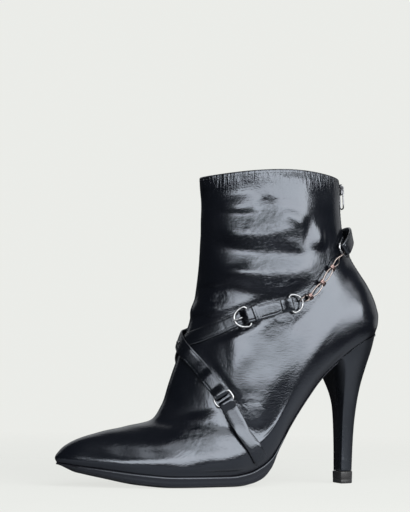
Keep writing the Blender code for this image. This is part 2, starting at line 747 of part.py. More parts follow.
# Buckle strap: short strap folded round the buckle's bar and the upper ring's bar
short_run = [(buckle_bar + FOLD_FAR, SHORT_SECOND), (buckle_bar + FOLD_NEAR, SHORT_SECOND)]
short_run += fold(buckle_bar, BAR_LIFT, -1, SHORT_FOLD, False)
short_run += straight_run(buckle_bar + FOLD_NEAR, ring_bar - FOLD_NEAR, lambda s: SHORT_LAY)
short_run += fold(ring_bar, BAR_LIFT, 1, SHORT_FOLD, True)
short_run += [(ring_bar - FOLD_NEAR, SHORT_SECOND), (free_end + STRAP_START, SHORT_SECOND)]
band("buckle_strap", ankle_path, short_run, STRAP_WIDTH - SHORT_NARROWER, SHORT_THICKNESS, STRAP_LEATHER)

# Instep strap: folded round the lower ring, over the crossing and round the inner ankle
def instep_height(s):
    crossing = min(1.0, CROSS_FLAT * bump(s, instep_cross, CROSS_FADE))
    layers = 1 - smooth_step((s - lower_bar - INSTEP_FOLD_FAR - STRAP_THICKNESS) / INSTEP_FOLD_EASE)
    return LAY + CROSS_RISE * max(crossing, layers)


instep_run = [(lower_bar + INSTEP_FOLD_FAR, LAY), (lower_bar + FOLD_NEAR, LAY)]
instep_run += fold(lower_bar, RING_LIFT, -1, FOLD_RADIUS, True)
instep_run += straight_run(lower_bar + INSTEP_FOLD_NEAR, instep_cross - CROSS_REACH, instep_height)
cross_ends = (instep_cross - CROSS_REACH, instep_cross + CROSS_REACH)
instep_run += straight_run(*cross_ends, instep_height, CROSS_STEP)[1:]
instep_run += straight_run(instep_cross + CROSS_REACH, join_at, instep_height)[1:]
band("instep_strap", instep_path, instep_run, STRAP_WIDTH, STRAP_THICKNESS, STRAP_LEATHER)


# Rear strap: the loose run that stands off the shaft round the back and folds round the rear ring
def rear_height(s):
    rise = smooth_step((s - join_at - RISE_AFTER) / (RISE_SHARE * (back_at - join_at)))
    return LAY + 2 * FOLD_RADIUS * rise + (STAND_OFF - 2 * FOLD_RADIUS) * bump(s, back_at, STAND_REACH)


rear_run = straight_run(join_at + GAP, rear_bar - REAR_FOLD_START, rear_height)
rear_run += fold(rear_bar, RING_LIFT, 1, FOLD_RADIUS, False)
rear_run += [(rear_bar - REAR_FOLD_NEAR, LAY), (rear_bar - REAR_FOLD_FAR, LAY)]
band("rear_strap", instep_path, rear_run, STRAP_WIDTH, STRAP_THICKNESS, STRAP_LEATHER)


# Sole tab: short tab from the outer sole seam, folded round the lower ring with its end underneath
def tab_height(s):
    under_end = tab_bar - TAB_FOLD_FAR - STRAP_THICKNESS
    return SECOND_LAY - (SECOND_LAY - LAY) * smooth_step((under_end - s) / TAB_FOLD_EASE)


tab_run = [(tab_bar - TAB_FOLD_FAR, LAY), (tab_bar - FOLD_NEAR, LAY)]
tab_run += fold(tab_bar, RING_LIFT, 1, FOLD_RADIUS, True)
tab_run += straight_run(tab_bar - FOLD_NEAR, STRAP_START, tab_height)
band("sole_tab", instep_path, tab_run, STRAP_WIDTH, STRAP_THICKNESS, STRAP_LEATHER)


# Metal rings
def spots_on(path, start, height):
    """Places near one spot of a route, following the upper."""
    return lambda ahead, w, up=0.0: on_skin(path, start + ahead, w, height + up)


flat_ring = spots_on(ankle_path, ring_bar, BAR_LIFT)


def upper_ring(ahead, w):
    """The upper ring tips up from its bar to the height of the chain."""
    return flat_ring(ahead, w, (RING_LIFT - BAR_LIFT) * ahead / RING_DEPTH)


tube("upper_ring", d_loop(upper_ring, RING_HALF_BAR, RING_DEPTH), WIRE, SILVER, closed=True)
rear_ring = spots_on(instep_path, rear_bar, RING_LIFT)
tube("rear_ring", d_loop(rear_ring, RING_HALF_BAR, REAR_RING_DEPTH), WIRE, SILVER, closed=True)
lower_ring = spots_on(instep_path, lower_bar, RING_LIFT)
corners = ((0, -1), (0, 0), (0, 1), (-1, 1), (-1, 0), (-1, -1))
lower_path = []
for ahead, across in corners:
    spot_s = ahead * LOWER_RING_DEPTH
    if across == 0:
        lower_path.append(lower_ring(spot_s, 0.0))
        continue
    toward = LOWER_CORNER if ahead else -LOWER_CORNER
    straight = RING_HALF_BAR - LOWER_CORNER
    pair = [(spot_s, across * straight), (spot_s + toward, across * RING_HALF_BAR)]
    if (ahead, across) in ((0, -1), (-1, 1)):
        pair.reverse()
    lower_path += [lower_ring(*spot) for spot in pair]
tube("lower_ring", lower_path, WIRE, SILVER, closed=True)

# Buckle: D frame with its bar in the short strap, and a prong resting on the frame
buckle = rigid(ankle_path, buckle_bar, BAR_LIFT)


def buckle_spot(ahead, w):
    return buckle(ahead, w, -ahead / BUCKLE_DEPTH * BUCKLE_TILT)


tube("buckle_frame", d_loop(buckle_spot, BUCKLE_HALF_BAR, -BUCKLE_DEPTH), WIRE, SILVER, closed=True)
prong_rise = BUCKLE_TILT + WIRE + GAP + PRONG_WIRE
prong_tip = -BUCKLE_DEPTH - PRONG_OVERHANG
prong_path = []
for share in (0.0, 0.5, 1.0):
    prong_path.append(buckle(prong_tip + share * PRONG_LENGTH, 0.0, prong_rise + PRONG_SLOPE * share))
tube("buckle_prong", prong_path, PRONG_WIRE, SILVER)

# Keeper: leather loop over the free end
keeper = rigid(ankle_path, buckle_bar + KEEPER_AT, 0.0)
keeper_top = OVER_BAR + STRAP_THICKNESS / 2 + GAP
keeper_side = STRAP_WIDTH / 2 + GAP
keeper_sections = []
for across, height in ((-1, KEEPER_LOW), (-1, keeper_top), (1, keeper_top), (1, KEEPER_LOW)):
    thick = KEEPER_THICKNESS if height == keeper_top else 0.0
    low = across * keeper_side
    high = across * (keeper_side + KEEPER_THICKNESS)
    keeper_sections.append([keeper(-KEEPER_LENGTH / 2, low, height), keeper(KEEPER_LENGTH / 2, low, height),
                            keeper(KEEPER_LENGTH / 2, high, height + thick),
                            keeper(-KEEPER_LENGTH / 2, high, height + thick)])
loft("strap_keeper", keeper_sections, STRAP_LEATHER)

# Rivet at the crossing
rivet = rigid(instep_path, instep_cross, LAY + CROSS_RISE + STRAP_THICKNESS / 2 + GAP)
rivet_sections = []
for share, wide in RIVET_ROWS:
    radius = RIVET_RADIUS * wide
    turns = [2 * pi * k / RIVET_SIDES for k in range(RIVET_SIDES)]
    rivet_sections.append([rivet(radius * cos(a), radius * sin(a), share * RIVET_HEIGHT) for a in turns])
loft("cross_rivet", rivet_sections, SILVER)

# Chain: oval links bound end to end by double wraps, hooked to a ring at each end
curve_ahead = RING_CORNER + (RING_DEPTH - RING_CORNER) * cos(CHAIN_LEAVES)
curve_across = RING_HALF_BAR * sin(CHAIN_LEAVES)
chain_knots = [upper_ring(curve_ahead - CHAIN_RUN_ON, curve_across - CHAIN_RUN_ASIDE)]
chain_knots += [upper_ring(curve_ahead, curve_across)]
chain_knots += [Vector(guide) for guide in CHAIN_GUIDES]
chain_knots += [rear_ring(REAR_RING_DEPTH, 0.0), rear_ring(REAR_RING_DEPTH - CHAIN_RUN_ON, 0.0)]
chain_path = route(chain_knots)
chain_start = chain_path[1][ROUTE_STEPS]
chain_stop = chain_path[1][ROUTE_STEPS * (len(chain_knots) - 2)]
chain_length = chain_stop - chain_start
hook = WIRE + GAP + CHAIN_WIRE
wraps_at = [chain_start + chain_length * share for share in WRAP_PLACES]
link_ends = [chain_start - hook] + [spot + turn * LINK_GAP for spot in wraps_at for turn in (-1, 1)]
link_ends.append(chain_stop + hook)
for number in range(len(wraps_at) + 1):
    start, stop = link_ends[2 * number: 2 * number + 2]
    place = spots_on(chain_path, (start + stop) / 2, RING_LIFT)
    reach = (stop - start) / 2
    hooked = number in (0, len(wraps_at))
    link_path = []
    for k in range(LINK_STEPS):
        turn = 2 * pi * k / LINK_STEPS
        ahead = reach * cos(turn)
        to_ring = -ahead if number == 0 else ahead
        share = smooth_step(to_ring / reach + 0.5) if hooked else 0.0
        tilt = HOOK_TILT * share
        wide = LINK_HALF_WIDTH + (HOOK_HALF_WIDTH - LINK_HALF_WIDTH) * share
        wide *= max(abs(sin(turn)), 1e-6) ** (1 - HOOK_BLUNTNESS * share) * (1 if turn < pi else -1)
        link_path.append(place(ahead, wide * cos(tilt), wide * sin(tilt)))
    tube(f"chain_link_{number + 1}", link_path, CHAIN_WIRE, SILVER, closed=True, sides=CHAIN_SIDES)
for number, spot in enumerate(wraps_at):
    place = spots_on(chain_path, spot, RING_LIFT)
    wrap_sections = []
    for k in range(WRAP_STEPS):
        turn = 2 * pi * k / WRAP_STEPS
        section = []
        for ahead, out in WRAP_OUTLINE:
            grow = GAP + CHAIN_WIRE + out * WRAP_WIRE
            across = (WRAP_HALF_WIDTH + grow) * cos(turn)
            up = (WRAP_HALF_HEIGHT + grow) * sin(turn)
            section.append(place(ahead * WRAP_HALF_LENGTH, across, up))
        wrap_sections.append(section)
    loft(f"chain_wrap_{number + 1}", wrap_sections, SILVER, closed=True)

# Zip: toothed strip up the back, a slider at the top and its hanging pull
zip_run = straight_run(ZIP_START, zip_path[1][-1], lambda s: GAP + ZIP_THICKNESS / 2, ZIP_STEP)
band("zip_chain", zip_path, zip_run, 2 * ZIP_HALF_WIDTH, ZIP_THICKNESS, SILVER)
slider = rigid(zip_path, SLIDER_AT, 0.0)
slider_sections = []
for window_s, window_h, outside_s, outside_h, half in SLIDER_ROWS:
    slider_sections.append([slider(window_s, -half, window_h), slider(window_s, half, window_h),
                            slider(outside_s, half, outside_h), slider(outside_s, -half, outside_h)])
loft("zip_slider", slider_sections, SILVER, closed=True)
pull_path = []
for ahead, across in PULL_OUTLINE:
    pull_path.append(slider(ahead * PULL_LENGTH, across * PULL_HALF_WIDTH, PULL_LIFT))
tube("zip_pull", pull_path, PULL_WIRE, SILVER, closed=True, pivot=slider(0.0, 0.0, PULL_LIFT))
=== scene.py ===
from bisect import bisect_left
from math import cos, pi, prod, radians, sin, sqrt

import bmesh
import bpy
from mathutils import Matrix, Vector
from mathutils.bvhtree import BVHTree
from mathutils.kdtree import KDTree


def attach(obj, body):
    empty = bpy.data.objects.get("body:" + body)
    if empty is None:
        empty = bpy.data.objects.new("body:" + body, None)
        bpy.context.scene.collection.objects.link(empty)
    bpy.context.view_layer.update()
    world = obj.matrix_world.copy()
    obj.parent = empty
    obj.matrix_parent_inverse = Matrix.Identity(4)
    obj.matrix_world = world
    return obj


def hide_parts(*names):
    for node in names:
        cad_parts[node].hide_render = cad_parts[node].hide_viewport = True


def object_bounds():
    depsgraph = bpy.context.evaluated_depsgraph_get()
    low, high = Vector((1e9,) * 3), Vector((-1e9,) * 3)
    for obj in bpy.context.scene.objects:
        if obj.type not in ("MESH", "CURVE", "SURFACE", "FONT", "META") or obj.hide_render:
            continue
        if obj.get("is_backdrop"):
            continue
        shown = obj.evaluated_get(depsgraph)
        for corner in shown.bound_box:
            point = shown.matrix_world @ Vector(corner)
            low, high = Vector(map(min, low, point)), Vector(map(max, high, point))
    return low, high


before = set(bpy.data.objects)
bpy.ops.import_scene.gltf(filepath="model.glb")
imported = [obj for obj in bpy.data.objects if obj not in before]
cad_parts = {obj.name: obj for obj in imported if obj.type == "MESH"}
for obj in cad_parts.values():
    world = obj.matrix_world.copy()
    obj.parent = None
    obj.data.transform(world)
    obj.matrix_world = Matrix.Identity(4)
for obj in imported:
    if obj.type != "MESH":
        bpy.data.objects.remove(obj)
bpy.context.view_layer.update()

# Upper
# A lasted shell of smooth black leather, cut in large pieces, pulled over the last and closed below
# by the sole. It is soft round the ankle, where it sags into folds, and turned over at the collar.
# Sizes are in millimetres: x from the heel's back, y towards the outer side, z from the floor.
MM = 0.001
GAP = 0.3
X_MIDDLE = 120.2
Y_MIDDLE = 1.0
TOE_SWING = 5.0
SWING_FROM_X = 90.0
SWING_POWER = 1.6
CORNER_SOFTNESS = 6.0
WIDTH_PLACES = (0.13, 0.40, 0.66)
PROFILE_COLUMNS = ("front_x", "front_z", "back_x", "back_z", "sag")
PROFILE_ROWS = (
    (236.8, 15.8, 4.0, 109.6, 1.00),
    (238.2, 19.0, 2.4, 115.0, 1.00),
    (234.6, 24.6, 2.0, 121.0, 1.00),
    (224.5, 31.0, 3.4, 127.0, 1.00),
    (208.0, 36.2, 6.4, 135.0, 1.00),
    (188.5, 40.4, 10.8, 143.0, 1.00),
    (171.5, 44.6, 16.0, 150.5, 1.00),
    (164.0, 54.6, 21.0, 158.0, 0.98),
    (158.4, 71.0, 25.2, 166.0, 0.90),
    (151.4, 92.0, 28.8, 176.0, 0.74),
    (144.6, 112.0, 30.8, 186.0, 0.50),
    (139.8, 135.0, 31.6, 194.0, 0.26),
    (137.4, 163.0, 32.0, 202.0, 0.10),
    (136.8, 189.0, 32.2, 209.0, 0.02),
    (138.4, 213.0, 32.6, 216.0, 0.00),
)
TOP_LEVEL = len(PROFILE_ROWS) - 1
GIRTH_COLUMNS = ("level", "out_heel", "out_waist", "out_ball", "in_heel", "in_waist", "in_ball",
                 "nose_radius", "nose_taper", "back_radius")
GIRTH_ROWS = (
    (0, 27.0, 29.0, 38.5, 26.0, 21.5, 36.5, 4.0, 0.46, 26.0),
    (2, 30.8, 33.8, 39.5, 29.4, 27.6, 38.0, 4.5, 0.46, 27.0),
    (4, 31.6, 35.6, 37.0, 30.3, 31.6, 36.0, 5.0, 0.52, 26.0),
    (6, 31.5, 35.8, 34.5, 30.5, 33.7, 33.5, 6.5, 0.58, 24.0),
    (8, 30.8, 35.0, 33.0, 30.3, 34.2, 32.5, 8.5, 0.60, 21.0),
    (11, 28.8, 33.6, 31.0, 28.3, 33.2, 30.5, 9.0, 0.55, 17.0),
    (14, 26.5, 32.5, 29.5, 26.5, 32.0, 29.0, 8.0, 0.50, 14.0),
)
COLLAR_SIDE_RISE = 4.0
COLLAR_RISE_FROM = 0.7
SEAM_SOFTEN = 10.0
SOFTEN_LEVELS = 4.0
WAIST_SHARE = 0.42
WAIST_FADE = 0.30
SOLE_COLUMNS = ("x", "seam_z", "thickness", "ledge")
SOLE_ROWS = (
    (2.0, 110.3, 2.6, 0.0),
    (14.0, 105.6, 2.6, 0.0),
    (28.0, 98.2, 2.6, 0.0),
    (40.0, 89.8, 2.6, 0.0),
    (55.0, 77.0, 2.6, 0.2),
    (68.0, 60.8, 2.8, 0.4),
    (80.0, 43.2, 3.0, 0.6),
    (88.0, 29.4, 3.8, 0.8),
    (94.0, 20.4, 8.2, 1.0),
    (101.0, 14.8, 10.0, 1.2),
    (112.0, 10.0, 9.0, 1.4),
    (126.0, 8.0, 7.5, 1.6),
    (166.0, 8.0, 7.5, 1.6),
    (186.0, 9.4, 7.4, 1.6),
    (210.0, 12.4, 5.8, 1.5),
    (228.0, 14.7, 4.0, 1.1),
    (240.0, 16.2, 1.8, 0.2),
)


def smooth_curve(places, values):
    """Monotone cubic curve through one column of a table."""
    count = len(places)
    steps = [places[i + 1] - places[i] for i in range(count - 1)]
    rises = [(values[i + 1] - values[i]) / steps[i] for i in range(count - 1)]
    slopes = [rises[0]]
    for i in range(1, count - 1):
        if rises[i - 1] * rises[i] <= 0:
            slopes.append(0.0)
            continue
        first = 2 * steps[i] + steps[i - 1]
        second = steps[i] + 2 * steps[i - 1]
        slopes.append((first + second) / (first / rises[i - 1] + second / rises[i]))
    slopes.append(rises[-1])

    def value(place):
        if place <= places[0]:
            return values[0]
        if place >= places[-1]:
            return values[-1]
        i = 0
        while place > places[i + 1]:
            i += 1
        u = (place - places[i]) / steps[i]
        bend = steps[i] * u * (1 - u)
        line = values[i] + (values[i + 1] - values[i]) * u * u * (3 - 2 * u)
        return line + bend * ((1 - u) * slopes[i] - u * slopes[i + 1])

    return value


def table_curves(columns, rows, places=None):
    """One smooth curve for each named column of a table."""
    spots = places if places else [row[0] for row in rows]
    return {name: smooth_curve(spots, [row[i] for row in rows]) for i, name in enumerate(columns)}


profile = table_curves(PROFILE_COLUMNS, PROFILE_ROWS, list(range(len(PROFILE_ROWS))))
girth = table_curves(GIRTH_COLUMNS, GIRTH_ROWS)
sole = table_curves(SOLE_COLUMNS, SOLE_ROWS)
FEATHER_BACK_X, FEATHER_FRONT_X = PROFILE_ROWS[0][2], PROFILE_ROWS[0][0]
FEATHER_BACK_Z, FEATHER_FRONT_Z = PROFILE_ROWS[0][3], PROFILE_ROWS[0][1]


def middle_y(x):
    """Middle line of the last, swinging inward to the toe."""
    share = max(0.0, (x - SWING_FROM_X) / (FEATHER_FRONT_X - SWING_FROM_X))
    return -TOE_SWING * share ** SWING_POWER


def half_width(level, t, side):
    """Half width of a ring at share t of its length, on the outer (+1) or inner (-1) side."""
    length = profile["front_x"](level) - profile["back_x"](level)
    from_back = t * length
    from_nose = (1 - t) * length
    if from_back < 1e-6 or from_nose < 1e-6:
        return 0.0
    taper = girth["nose_taper"](level) * from_nose
    nose = sqrt(2 * girth["nose_radius"](level) * from_nose + taper * taper)
    back = sqrt(2 * girth["back_radius"](level) * from_back)
    names = ("out_heel", "out_waist", "out_ball") if side > 0 else ("in_heel", "in_waist", "in_ball")
    body = smooth_curve(WIDTH_PLACES, [girth[name](level) for name in names])(t)
    total = sum(width ** -CORNER_SOFTNESS for width in (nose, back, body))
    return total ** (-1 / CORNER_SOFTNESS)


def smooth_step(value):
    """A soft rise from 0 to 1."""
    u = min(max(value, 0.0), 1.0)
    return u * u * (3 - 2 * u)


def upper_point(level, t, side):
    """A point on the outside of the last."""
    back_x = profile["back_x"](level)
    x = back_x + t * (profile["front_x"](level) - back_x)
    y = middle_y(x) + side * half_width(level, t, side)
    chord = profile["back_z"](level) + t * (profile["front_z"](level) - profile["back_z"](level))
    seam_x = FEATHER_BACK_X + t * (FEATHER_FRONT_X - FEATHER_BACK_X)
    seam_x += (x - seam_x) * (1 - smooth_step((t - WAIST_SHARE) / WAIST_FADE))
    seam_share = (seam_x - FEATHER_BACK_X) / (FEATHER_FRONT_X - FEATHER_BACK_X)
    seam_chord = FEATHER_BACK_Z + seam_share * (FEATHER_FRONT_Z - FEATHER_BACK_Z)
    reach = SEAM_SOFTEN * min(1.0, level / SOFTEN_LEVELS) * 4 * t * (1 - t)
    heights = [sole["seam_z"](seam_x + reach * step) for step in (-1, 0, 0, 1)]
    z = chord + profile["sag"](level) * (sum(heights) / len(heights) - seam_chord)
    high = max(0.0, level / TOP_LEVEL - COLLAR_RISE_FROM) / (1 - COLLAR_RISE_FROM)
    z += COLLAR_SIDE_RISE * high * sin(pi * t)
    return Vector((x, y, z))


def ring(level, steps):
    """One closed ring of the last, back to toe along the outer side and back along the inner side."""
    shares = [(1 - cos(pi * i / steps)) / 2 for i in range(steps + 1)]
    outer_side = [upper_point(level, t, 1) for t in shares]
    inner_side = [upper_point(level, t, -1) for t in shares[1:-1]]
    return outer_side + inner_side[::-1]


def grid_normals(rings):
    """Outward normals of a stack of closed rings."""
    count = len(rings[0])
    normals = []
    for j, points in enumerate(rings):
        above = rings[min(j + 1, len(rings) - 1)]
        below = rings[max(j - 1, 0)]
        row = []
        for i in range(count):
            along = points[(i + 1) % count] - points[i - 1]
            up = above[i] - below[i]
            row.append(up.cross(along).normalized())
        normals.append(row)
    return normals


FOOT_LEVEL = 6.0
FOOT_LEVEL_STEPS = 44
SHAFT_LEVEL_STEPS = 108
RING_STEPS = 100
upper_levels = [FOOT_LEVEL * j / FOOT_LEVEL_STEPS for j in range(FOOT_LEVEL_STEPS)]
upper_levels += [FOOT_LEVEL + (TOP_LEVEL - FOOT_LEVEL) * j / SHAFT_LEVEL_STEPS
                 for j in range(SHAFT_LEVEL_STEPS + 1)]
last_rings = [ring(level, RING_STEPS) for level in upper_levels]
last_normals = grid_normals(last_rings)
ring_count = len(last_rings[0])


def grid_faces(rows, count, closed_rows=False):
    """Quads of a stack of closed rings; the stack itself may close too."""
    faces = []
    for j in range(rows if closed_rows else rows - 1):
        here = j * count
        there = (j + 1) % rows * count
        for i in range(count):
            k = (i + 1) % count
            faces.append((here + i, here + k, there + k, there + i))
    return faces


skin = BVHTree.FromPolygons([p for row in last_rings for p in row],
                            [face[::-1] for face in grid_faces(len(last_rings), ring_count)])

# Where the straps hold the leather flat
ANKLE_GUIDES = ((102, -29, 16), (117, -35, 38), (131, -32, 58), (143, -22, 78), (153, 0, 98),
                (146, 17, 105), (136, 26, 110), (125, 32, 114.5), (114, 34, 117), (100, 34.5, 121),
                (84, 34, 125), (72, 33, 127.5))
INSTEP_GUIDES = ((102.5, 35, 16), (117, 37, 36), (130, 34, 57), (143, 21, 78), (153, 0, 98),
                 (146, -17, 105), (134, -27, 111), (116, -33, 117), (96, -34, 124), (72, -33, 136),
                 (54, -29, 149), (38, -20, 167), (29, 0, 178), (36, 19, 168), (44, 25, 157))
ZIP_GUIDES = ((34.8, 0, 216), (33.6, 0, 198), (31.0, 0, 181), (25.4, 0, 166), (16, 0, 150.5), (6.4, 0, 135),
              (2.4, 0, 121))
ROUTE_STEPS = 24
PRESS_REACH = 6.0
PRESS_FADE = 5.0


def run_lengths(points):
    """Length run at each point of a line."""
    lengths = [0.0]
    for a, b in zip(points, points[1:]):
        lengths.append(lengths[-1] + (b - a).length)
    return lengths


def route(guides):
    """Spots on the last through the guide points, with the length run at each spot."""
    knots = [Vector(g) for g in guides]
    dense = []
    for i in range(len(knots) - 1):
        before = knots[max(i - 1, 0)]
        after = knots[min(i + 2, len(knots) - 1)]
        for k in range(ROUTE_STEPS):
            u = k / ROUTE_STEPS
            spot = 0.5 * (2 * knots[i] + (knots[i + 1] - before) * u
                          + (2 * before - 5 * knots[i] + 4 * knots[i + 1] - after) * u * u
                          + (3 * knots[i] - before - 3 * knots[i + 1] + after) * u ** 3)
            dense.append(skin.find_nearest(spot)[0])
    dense.append(skin.find_nearest(knots[-1])[0])
    return dense, run_lengths(dense)


ankle_path = route(ANKLE_GUIDES)
instep_path = route(INSTEP_GUIDES)
zip_path = route(ZIP_GUIDES)
pressed = KDTree(sum(len(path[0]) for path in (ankle_path, instep_path, zip_path)))
for path in (ankle_path, instep_path, zip_path):
    for spot in path[0]:
        pressed.insert(spot, 0)
pressed.balance()


def free_of_straps(point):
    """0 where a strap lies on the leather, rising to 1 beside it."""
    return smooth_step((pressed.find(point)[2] - PRESS_REACH) / PRESS_FADE)


# Sagging folds and creases: each is a ridge (or a trough where its height is negative) with its middle
# at x, z, turned in degrees from level, its ends bent up by bend, and its flanks reaching above and below
FOLD_COLUMNS = ("side", "x", "z", "half_length", "turn", "bend", "above", "below", "height")
FOLD_ROWS = (
    (1, 118, 191.2, 16, 2, 1.0, 12, 4.6, 1.3),
    (1, 99, 193.6, 8, 20, 0, 8, 7, -1.0),
    (1, 104, 172.2, 38, -2, 11, 17, 14, 2.3),
    (1, 104, 172.4, 35, -2, 11, 6, 3, 0.35),
    (1, 99, 145.6, 47, 1.5, 12, 16, 15, 2.4),
    (1, 99, 145.8, 43, 1.5, 12, 6, 3, 0.32),
    (1, 131, 170, 45, 90, 0, 28, 9, 1.4),
    (1, 82, 192, 36, 90, 0, 30, 24, 2.4),
    (1, 58, 173, 11, 90, 0, 5, 9, 0.9),
    (1, 117, 146, 20, 0, 0, 6, 20, 1.4),
    (1, 92, 134.0, 20, -8, 0, 6, 4, 0.5),
    (1, 95, 127.0, 22, -15, 0, 7, 4, 0.7),
    (1, 61, 169, 10, -12, 1, 11, 6, 0.5),
    (1, 82, 184.5, 11, 25, 0, 8, 4, 0.8),
    (1, 69.5, 176, 14, 95, 0, 5, 6, -0.6),
    (1, 81, 165, 14, 8, 0, 9, 4, 0.7),
    (1, 132, 139, 10, 10, 0, 8, 4, 0.9),
    (0, 140, 120.3, 18, 0, 0, 9, 6, 1.1),
    (1, 83, 107.5, 8, 76, 0, 1.6, 2.0, -0.24),
    (1, 78, 110.5, 7, 80, 0, 1.4, 1.8, -0.22),
    (1, 117, 84, 56, 84, 10, 26, 24, 2.0),
    (1, 119.5, 94, 36, 88, 2, 10, 9, 0.8),
    (1, 74, 79, 86, -45.7, 0, 32, 18, 1.5),
    (1, 92, 47, 40, -56, 0, 20, 14, -1.3),
    (1, 84, 112, 13, -6, 0, 1.6, 1.6, -0.18),
    (1, 87, 108, 11, 4, 0, 1.5, 1.6, -0.16),
    (1, 66, 124, 27, -43, 0, 4, 3, -0.35),
    (1, 134, 14.5, 46, -2, 0, 15, 5, 1.8),
    (1, 149, 41, 36, -23, 0, 9, 16, 1.3),
    (1, 196, 17.5, 40, 0, 0, 7, 6, 0.9),
    (1, 114, 57, 9, -8, 0, 1.8, 1.8, -0.38),
    (1, 112, 51.5, 9, 8, 0, 1.8, 1.8, -0.40),
    (1, 112, 46.0, 9, 20, 0, 1.8, 1.8, -0.36),
    (1, 158, 30, 9, 112, 0, 1.6, 1.8, -0.22),
    (1, 152, 33, 9, 108, 0, 1.6, 1.8, -0.25),
    (1, 146, 36, 9, 104, 0, 1.6, 1.8, -0.25),
    (1, 140, 38, 9, 100, 0, 1.6, 1.8, -0.22),
    (-1, 108, 189, 20, -3, 2, 11, 5, 1.1),
    (-1, 96, 169, 34, 2, 9, 16, 11, 1.9),
    (-1, 92, 146, 40, -2, 10, 15, 12, 2.0),
    (-1, 62, 180, 12, 80, 0, 7, 6, -0.8),
    (-1, 100, 122, 20, 12, 0, 9, 6, 0.8),
    (-1, 148, 36, 9, 100, 0, 1.8, 1.8, -0.24),
    (-1, 140, 38, 9, 96, 0, 1.8, 1.8, -0.22),
)
folds = [dict(zip(FOLD_COLUMNS, row)) for row in FOLD_ROWS]
FOLD_END_POWER = 1.5
FOLD_FLANK_POWER = 2
EDGE_FADE = 6.0
LUMP = 0.10
# Each row is a size and two crossing waves, with their rates along x and z and their shift
LUMP_WAVES = (
    (1.0, (0.21, 0.17, 0.0), (-0.09, 0.13, 0.4)),
    (0.6, (0.37, -0.05, 1.3), (0.0, 0.29, 0.7)),
)


def fold_height(x, z, side):
    """How far the leather stands off the last at one spot."""
    total = 0.0
    for fold_row in folds:
        if fold_row["side"] * side < 0:
            continue
        turn = radians(fold_row["turn"])
        ahead, up = x - fold_row["x"], z - fold_row["z"]
        u = (ahead * cos(turn) + up * sin(turn)) / fold_row["half_length"]
        if abs(u) >= 1:
            continue
        v = up * cos(turn) - ahead * sin(turn) - fold_row["bend"] * u * u
        v /= fold_row["above"] if v > 0 else fold_row["below"]
        if abs(v) < 1:
            total += fold_row["height"] * (1 - u * u) ** FOLD_END_POWER * (1 - v * v) ** FOLD_FLANK_POWER
    return total


def lumps(point):
    """Slow unevenness of worn leather."""
    total = 0.0
    for size, *waves in LUMP_WAVES:
        total += size * prod(sin(along * point.x + up * point.z + shift) for along, up, shift in waves)
    return LUMP * total


leather_rings = []
for j, points in enumerate(last_rings):
    row = []
    for i, point in enumerate(points):
        side = 1 if i <= RING_STEPS else -1
        normal = last_normals[j][i]
        from_top = (last_rings[-1][i] - point).length
        from_sole = (point - last_rings[0][i]).length
        free = free_of_straps(point) * smooth_step(from_top / EDGE_FADE) * smooth_step(from_sole / EDGE_FADE)
        row.append(point + normal * free * (fold_height(point.x, point.z, side) + lumps(point)))
    leather_rings.append(row)

# Where the leather is drawn smooth under the waist: the places where this starts and where it is full,
# along x from behind, along x from in front, and downward
WAIST_DRAWN = ((44.0, 62.0), (122.0, 100.0), (100.0, 74.0))
DRAWN_ROWS = 64
DRAWN_PASSES = 80


def drawn_share(point):
    """1 where the leather is drawn smooth as it turns under the waist, fading to 0 round it."""
    spots = (point.x, point.x, point.z)
    return prod(smooth_step((spot - none) / (full - none)) for spot, (none, full) in zip(spots, WAIST_DRAWN))


for i in range(len(leather_rings[0])):
    column = [leather_rings[j][i] for j in range(DRAWN_ROWS)]
    shares = [drawn_share(point) / 2 for point in column]
    for step in range(DRAWN_PASSES if max(shares) > 0 else 0):
        middles = [(below + above) / 2 for below, above in zip(column, column[2:])]
        inner = zip(column[1:-1], middles, shares[1:-1])
        column[1:-1] = [spot + (middle - spot) * share for spot, middle, share in inner]
    for j in range(DRAWN_ROWS):
        leather_rings[j][i] = column[j]


def to_frame(point):
    """Millimetres of the boot to metres of the frame."""
    return ((point.x - X_MIDDLE) * MM, (point.y - Y_MIDDLE) * MM, point.z * MM)


def outward(points, faces):
    """The faces turned so that the closed mesh has a positive volume."""
    volume = 0.0
    for face in faces:
        for i in range(1, len(face) - 1):
            volume += points[face[0]].dot(points[face[i]].cross(points[face[i + 1]]))
    return faces if volume > 0 else [face[::-1] for face in faces]


def piece(name, points, faces, look, nodes=(), body="boot", masks=None):
    """One smooth closed piece that rides on a body and stands for CAD nodes; masks are values by point."""
    mesh = bpy.data.meshes.new(name)
    mesh.from_pydata([to_frame(p) for p in points], [], outward(points, faces))
    mesh.materials.append(look)
    mesh.shade_smooth()
    for mask, values in (masks or {}).items():
        layer = mesh.attributes.new(mask, "FLOAT", "POINT")
        layer.data.foreach_set("value", values)
    item = bpy.data.objects.new(name, mesh)
    bpy.context.scene.collection.objects.link(item)
    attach(item, body)
    if nodes:
        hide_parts(*nodes)
    return item


def section_faces(sections, count, closed=False):
    """Faces of a loft through sections of equal point count, capped unless it closes on itself."""
    faces = grid_faces(sections, count, closed)
    if not closed:
        top = (sections - 1) * count
        faces.append(tuple(range(count))[::-1])
        faces.append(tuple(range(top, top + count)))
    return faces


def lofted(name, sections, look, nodes=(), body="boot", closed=False, masks=None):
    """A piece lofted through its sections."""
    points = [p for section in sections for p in section]
    faces = section_faces(len(sections), len(sections[0]), closed)
    return piece(name, points, faces, look, nodes, body, masks)


